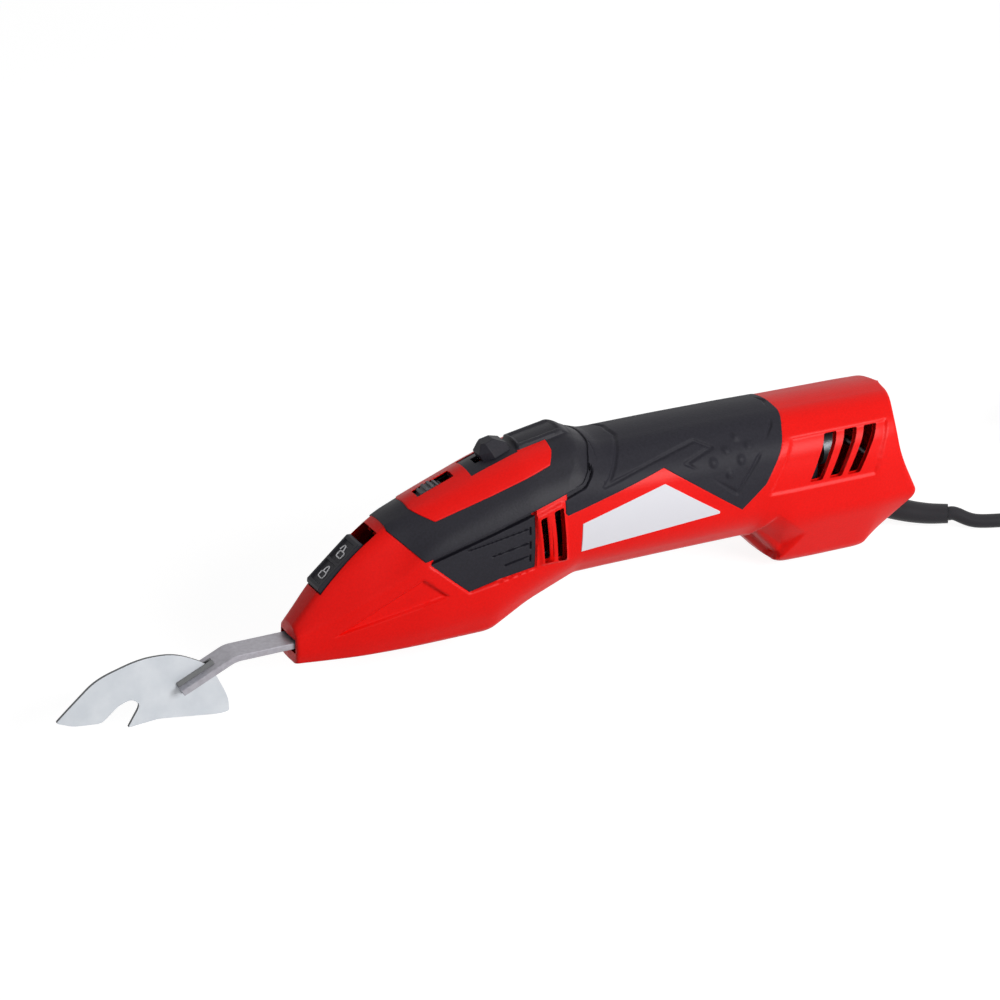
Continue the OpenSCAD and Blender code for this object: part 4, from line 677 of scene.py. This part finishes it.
def grip_form(p):
    """A groove 1.25 mm deep under the cap, grooves 0.7 mm deep along the lines, and domes 0.8 mm high."""
    h = -1.25 * ease((2.4 - near(p[..., [0, 2]], CAP_SIDE)) / 0.6)
    for line in GROOVES:
        h = np.minimum(h, -0.7 * ease(1.4 - near(p, line) / 0.9))
    for c in BUMPS:
        h = h + 0.8 * ease(1.25 - np.linalg.norm(p - np.array(c, float), axis=-1) / 2.2)
    return h


def pad_form(p):
    """A wide groove 1.9 mm deep under the cap and three thin ones 0.9 mm deep that end in a tick."""
    h = -1.9 * ease((2.6 - near(p[..., [0, 2]], CAP_SIDE)) / 0.6)
    for line in STRIPS:
        h = np.minimum(h, -0.9 * ease(1.5 - near(p[..., [0, 2]], line) / 0.4))
    return h


CAP_REAR = shares([(.423, .768), (.437, .821), (.447, .89), (.456, .925)])


def cap_form(p):
    """Rail 14.4 mm wide and 1.7 mm high behind the knob, sunk 0.9 mm along its middle, and a bevel 6 mm wide
    along the rear edge."""
    x, y = p[..., 0], p[..., 1]
    bevel = -0.9 * (1 - np.clip(near(p[..., [0, 2]], CAP_REAR) / 6, 0, 1))
    rail = 1.7 * ease((7.2 - y) / 0.9) * ease((x - 104.5) / 1.2) * ease((130 - x) / 6)
    return bevel + rail - 0.9 * ease((4.9 - y) / 0.8) * ease((x - 106) / 0.8) * ease((125.5 - x) / 0.8)


DIAL_SLOT = box_prism((59.5, 76.5), (-3.2, 3.2), (40, 100), seated)
DIAL_WINDOW = box_prism((59, 77), (-6.8, 6.8), (43.6, 100), seated)
KNOB_SLOT = box_prism((-9.5, 3.5), (-2.5, 2.5), (-8, 9), on_cap)
KNOB_WELL = box_prism((-11, 5), (-4.5, 4.5), (-9, 9), on_cap)
KNOB_BED = box_prism((-14.5, 8.5), (-8, 8), (-7, 7), on_cap)
RAIL_BED = box_prism((98, 132), (-7.2, 7.2), (60, 100), seated)
cap = patch("cap_cover", ["front_cap"], CREST, CAP_LOW, BLACK, "black_plastic", 0.55, both=True, size=(170, 60),
            deep=1.1, extra=cap_form)
cut(cap, [DIAL_SLOT, KNOB_SLOT])
panel = patch("panel_cover", ["switch_panel"], CREST, PANEL_LOW, RED, "red_plastic", 0.95, both=True, size=(110, 40),
              rim=0.4, deep=0.6)
cut(panel, [DIAL_SLOT])
cut(panel, [KNOB_BED])
cut(panel, [RAIL_BED])
for obj in (left_shell, right_shell):
    cut(obj, [DIAL_WINDOW])
    cut(obj, [KNOB_WELL])


RING = 24


def ring(x, z, wide, y):
    """Circle of the width given across Y."""
    a = np.linspace(0, 2 * math.pi, RING, endpoint=False)
    return seated(np.stack([x + wide / 2 * np.cos(a), np.full(RING, y), z + wide / 2 * np.sin(a)], -1))


# screw wells of the right side: x, z and the place of the mouth; widths of the screw's hole, the well and its wall
SCREWS = [(75, 10.92, 15.0), (117, 27.72, 21.5), (220.5, 27.05, 21.5), (280.5, 42.0, 21.5)]
HOLE, WELL, WELL_WALL = 4.2, 7.0, 9.0
WELL_FLOOR, WELL_UNDER, WELL_CUT = 12.4, 11.0, 10.0
cut(right_shell, [(ring(x, z, WELL, WELL_CUT), ring(x, z, WELL, CUT_FAR)) for x, z, _ in SCREWS])
wells, well_faces = [], []
for x, z, mouth in SCREWS:
    profile = [(HOLE, WELL_FLOOR), (WELL, WELL_FLOOR), (WELL, mouth), (WELL_WALL, mouth), (WELL_WALL, WELL_UNDER),
               (HOLE, WELL_UNDER)]
    k = len(wells)
    last = k + (len(profile) - 1) * RING
    for wide, y in profile:
        wells += [*ring(x, z, wide, y)]
    well_faces += grid_faces(len(profile), RING, k, wrap=True)
    well_faces += [[last + i, last + (i + 1) % RING, k + (i + 1) % RING, k + i] for i in range(RING)]
make("screw_wells", wells, well_faces, RED, slot="red_plastic")
for side, sign in (("left", -1), ("right", 1)):
    patch(side + "_grip_cover", [side + "_grip"], GRIP_HIGH, GRIP_LOW, SOFT, "soft_grip", 0.25, sign, size=(230, 90),
          extra=grip_form)
    patch(side + "_pad_cover", [side + "_pad"], PAD_HIGH, PAD_LOW, BLACK, "black_plastic", -0.7, sign, size=(200, 110),
          deep=2.9, extra=pad_form)
patch("label_cover", ["label_plate"], LABEL_HIGH, LABEL_LOW, FILM, "label_film", 0.3, -1, size=(80, 40), rim=0.15,
      deep=0.4)


# controls and blade
softened("lock_slider", BLACK, 0.5, body="lock")
# knob: three rings of six points, each given by its height and one half
KNOB = [(-.4, [(-6, 3.8), (-1.4, 5.8), (6.6, 4.8)]), (3.2, [(-6.8, 3.2), (-2, 5.6), (6.2, 4.2)]),
        (6.8, [(-4.2, 1.7), (-2.6, 3), (1.6, 2.2)])]
knob_pts = np.array([(x, y, z) for z, half in KNOB for x, y in half + [(x, -y) for x, y in half[::-1]]])
knob_faces = [[5, 4, 3, 2, 1, 0], [12, 13, 14, 15, 16, 17]]
knob_faces += [[f[0], f[3], f[2], f[1]] for f in grid_faces(3, 6, wrap=True)]
knob = make("switch_button", on_cap(knob_pts), knob_faces, BLACK, body="switch", replaces=["switch_knob"],
            slot="black_plastic", angle=12.0)
rounding = knob.modifiers.new("rounding", "BEVEL")
rounding.width, rounding.segments, rounding.harden_normals = 0.25 * MM, 2, True


ICON_HIGH, ICON_R, ICON_SIDES = 0.12, 0.3, 8


def icon(name, lines):
    """Thin printed lines as tubes in the slider's frame, partly sunk into the floor of its fields."""
    verts, faces = [], []
    for line in lines:
        p = np.array([(x, y, ICON_HIGH) for x, y in line], float)
        v, f = tube(on_nose(p), ICON_R * MM, ICON_SIDES)
        faces += [[i + len(verts) for i in q] for q in f]
        verts += v.tolist()
    return make(name, verts, faces, ICON, body="lock")


def padlock(x, swing):
    """Outline of a lock body, an oval squared by square roots of sine and cosine, and its bow, half an oval swung
    aside when open."""
    a = np.linspace(0, 2 * math.pi, 33)
    body = np.stack([x - 1.2 + 1.5 * np.sign(np.cos(a)) * np.abs(np.cos(a)) ** .5,
                     2.1 * np.sign(np.sin(a)) * np.abs(np.sin(a)) ** .5], -1)
    t = np.linspace(0, math.pi, 17)
    bow = np.stack([x + .5 + 2.6 * np.sin(t), swing + 1.3 * np.cos(t)], -1)
    return [body, bow]


icon("lock_marks", padlock(-5.75, 0) + padlock(5.4, 1.5))
softened("speed_dial", GREY, 0.25, body="dial")
softened("weld_beads", WELD, 0.4, body="blade")

# blade: corners as shares of its length and height, and the share that each corner takes up
BLADE_SIZE, BLADE_SHIFT, BLADE_HALF, BLADE_EDGE = [76, 33], [103.8, 18.4], 0.8, 0.12
BLADE = np.array([(0, .39, .3), (.08, .55, .3), (.24, .86, .7), (.5, 1.02, .8), (.7, .99, .8), (.9, .74, .8),
                  (1, .24, .7), (1.005, 0, .5), (.59, .14, .2), (.41, .11, .1), (.487, .39, .6), (.44, .5, .9),
                  (.36, .44, .6), (.26, .25, .4), (.1, .29, .6)])
corners = BLADE[:, :2] * BLADE_SIZE - BLADE_SHIFT
loop = np.array([bend(corners[i - 1], corners[i], corners[(i + 1) % len(BLADE)], BLADE[i, 2], t * BLADE[i, 2])
                 for i in range(len(BLADE)) for t in np.linspace(-.5, .5, 9)])


def lofted(rings):
    """Faces of the closed solid through rings of the same count."""
    count, n = len(rings[0]), len(rings)
    faces = [list(range(count)), list(range(n * count - 1, (n - 1) * count - 1, -1))]
    return faces + [[k * count + i, (k + 1) * count + i, (k + 1) * count + (i + 1) % count, k * count + (i + 1) % count]
                    for k in range(n - 1) for i in range(count)]


def plate_rings(o, half, ease_edge):
    """The outline as four rings across its thickness, the outer two drawn in by the edge given."""
    w = np.roll(o, -1, 0) - np.roll(o, 1, 0)
    n = np.stack([w[:, 1], -w[:, 0]], -1) / np.maximum(np.linalg.norm(w, axis=1), 1e-9)[:, None]
    n *= np.sign(np.sum(o[:, 0] * np.roll(o[:, 1], -1) - np.roll(o[:, 0], -1) * o[:, 1]))
    rings = [(o - n * ease_edge, -half), (o, -half + ease_edge), (o, half - ease_edge), (o - n * ease_edge, half)]
    return [np.stack([a[:, 0], np.full(len(a), y), a[:, 1]], -1) for a, y in rings]


rings = plate_rings(loop, BLADE_HALF, BLADE_EDGE)
blade = make("scraper_plate", seated(np.concatenate(rings)), lofted(rings), ZINC, body="blade",
             replaces=["blade_plate"], slot="blade_steel", angle=30.0)
blade.data.materials.append(EDGE)
for poly in blade.data.polygons:
    poly.material_index = int(abs(poly.normal.y) < 0.5)

# shank: a flat bar with a tight bend, drawn as the outline of its side: its rear end, height, bend, half
# thickness, half width, edge, and the length of the bend's corner and of the leg that falls from it
LEAN = math.radians(24)
BAR_END, BAR_Z, BEND_X, BAR_THICK, BAR_WIDE, BAR_EDGE, KNEE, LEG = 34, 8.8, -26, 1.4, 6.5, 0.35, 5, 26
bend_at, fall_to = np.array([BEND_X, BAR_Z]), np.array([-math.cos(LEAN), -math.sin(LEAN)]) * LEG
outline = []
for k in (1, -1):
    knee = bend_at + np.array([-k * BAR_THICK * math.tan(LEAN / 2), k * BAR_THICK])
    tip = bend_at + fall_to + k * BAR_THICK * np.array([-math.sin(LEAN), math.cos(LEAN)])
    line = [np.array([BAR_END, BAR_Z + k * BAR_THICK])]
    line += [bend(knee + [KNEE, 0], knee, knee + fall_to / LEG * KNEE, 1.0, t) for t in np.linspace(-.5, .5, 7)]
    outline += (line + [tip])[::k]
rings = plate_rings(np.array(outline), BAR_WIDE, BAR_EDGE)
make("shank_bar", seated(np.concatenate(rings)), lofted(rings), SHANK, body="blade", replaces=["blade_shank"],
     slot="steel", angle=35.0)


# the photo's plain white setting: where the lights aim, in m, and how bright the world and the floor are
LIT_SPOT, WORLD_GLOW, FLOOR_GLOW, FLOOR_HALF = (0.02, 0, 0.04), 0.17, 0.9, 6


def area(name, place, size, power):
    """A square light, its size in m and power in W, aimed at the lit spot."""
    light = bpy.data.lights.new(name, "AREA")
    light.size, light.energy = size, power
    obj = bpy.data.objects.new(name, light)
    bpy.context.scene.collection.objects.link(obj)
    back = np.array(place, float) - np.array(LIT_SPOT)
    back /= np.linalg.norm(back)
    right = np.cross([0, 0, 1.0], back)
    right /= np.linalg.norm(right)
    m = Matrix([right, np.cross(back, right), back]).transposed().to_4x4()
    m.translation = place
    obj.matrix_world = m


area("key", (0.65, -1.3, 0.55), 0.8, 23)
area("top", (0.2, 0.2, 1.5), 1.0, 2)
area("fill", (-1.2, -0.8, 0.4), 0.8, 1.0)


def backdrop(tree):
    """1 for the rays that see the white backdrop: camera, glossy and transmission rays."""
    path = add(tree, "ShaderNodeLightPath").outputs
    mirrored = add(tree, "ShaderNodeMath", {0: path["Is Glossy Ray"], 1: path["Is Transmission Ray"]},
                   operation="MAXIMUM")
    either = add(tree, "ShaderNodeMath", {0: path["Is Camera Ray"], 1: mirrored.outputs[0]}, operation="MAXIMUM")
    return either.outputs[0]


world = bpy.data.worlds.new("white studio")
bpy.context.scene.world = world
world.use_nodes = True
tree = world.node_tree
tree.nodes.clear()
glow = add(tree, "ShaderNodeBackground", {"Color": srgb("#FFFFFF"), "Strength": WORLD_GLOW})
seen = add(tree, "ShaderNodeBackground", {"Color": srgb("#FFFFFF"), "Strength": 1.0})
blend = add(tree, "ShaderNodeMixShader", {0: backdrop(tree), 1: glow.outputs[0], 2: seen.outputs[0]})
add(tree, "ShaderNodeOutputWorld", {"Surface": blend.outputs[0]})

# floor: dull and even, shown white to the eye and grey to the light that falls on it
FLOOR = material("matt white board", "#969696", 0.9, gloss=0.0)
tree = FLOOR.node_tree
lit = next(n for n in tree.nodes if n.type == "BSDF_PRINCIPLED")
lit.inputs["Emission Color"].default_value = srgb("#FFFFFF")
shown = add(tree, "ShaderNodeMath", {0: backdrop(tree), 1: FLOOR_GLOW}, operation="MULTIPLY")
tree.links.new(shown.outputs[0], lit.inputs["Emission Strength"])
floor = bpy.data.objects.new("floor", bpy.data.meshes.new("floor"))
floor.data.from_pydata([(x * FLOOR_HALF, y * FLOOR_HALF, 0) for x, y in ((-1, -1), (1, -1), (1, 1), (-1, 1))], [],
                       [(0, 1, 2, 3)])
floor.data.materials.append(FLOOR)
bpy.context.scene.collection.objects.link(floor)

bpy.context.scene.view_settings.view_transform = "Standard"
bpy.context.scene.render.resolution_x = bpy.context.scene.render.resolution_y = PICTURE
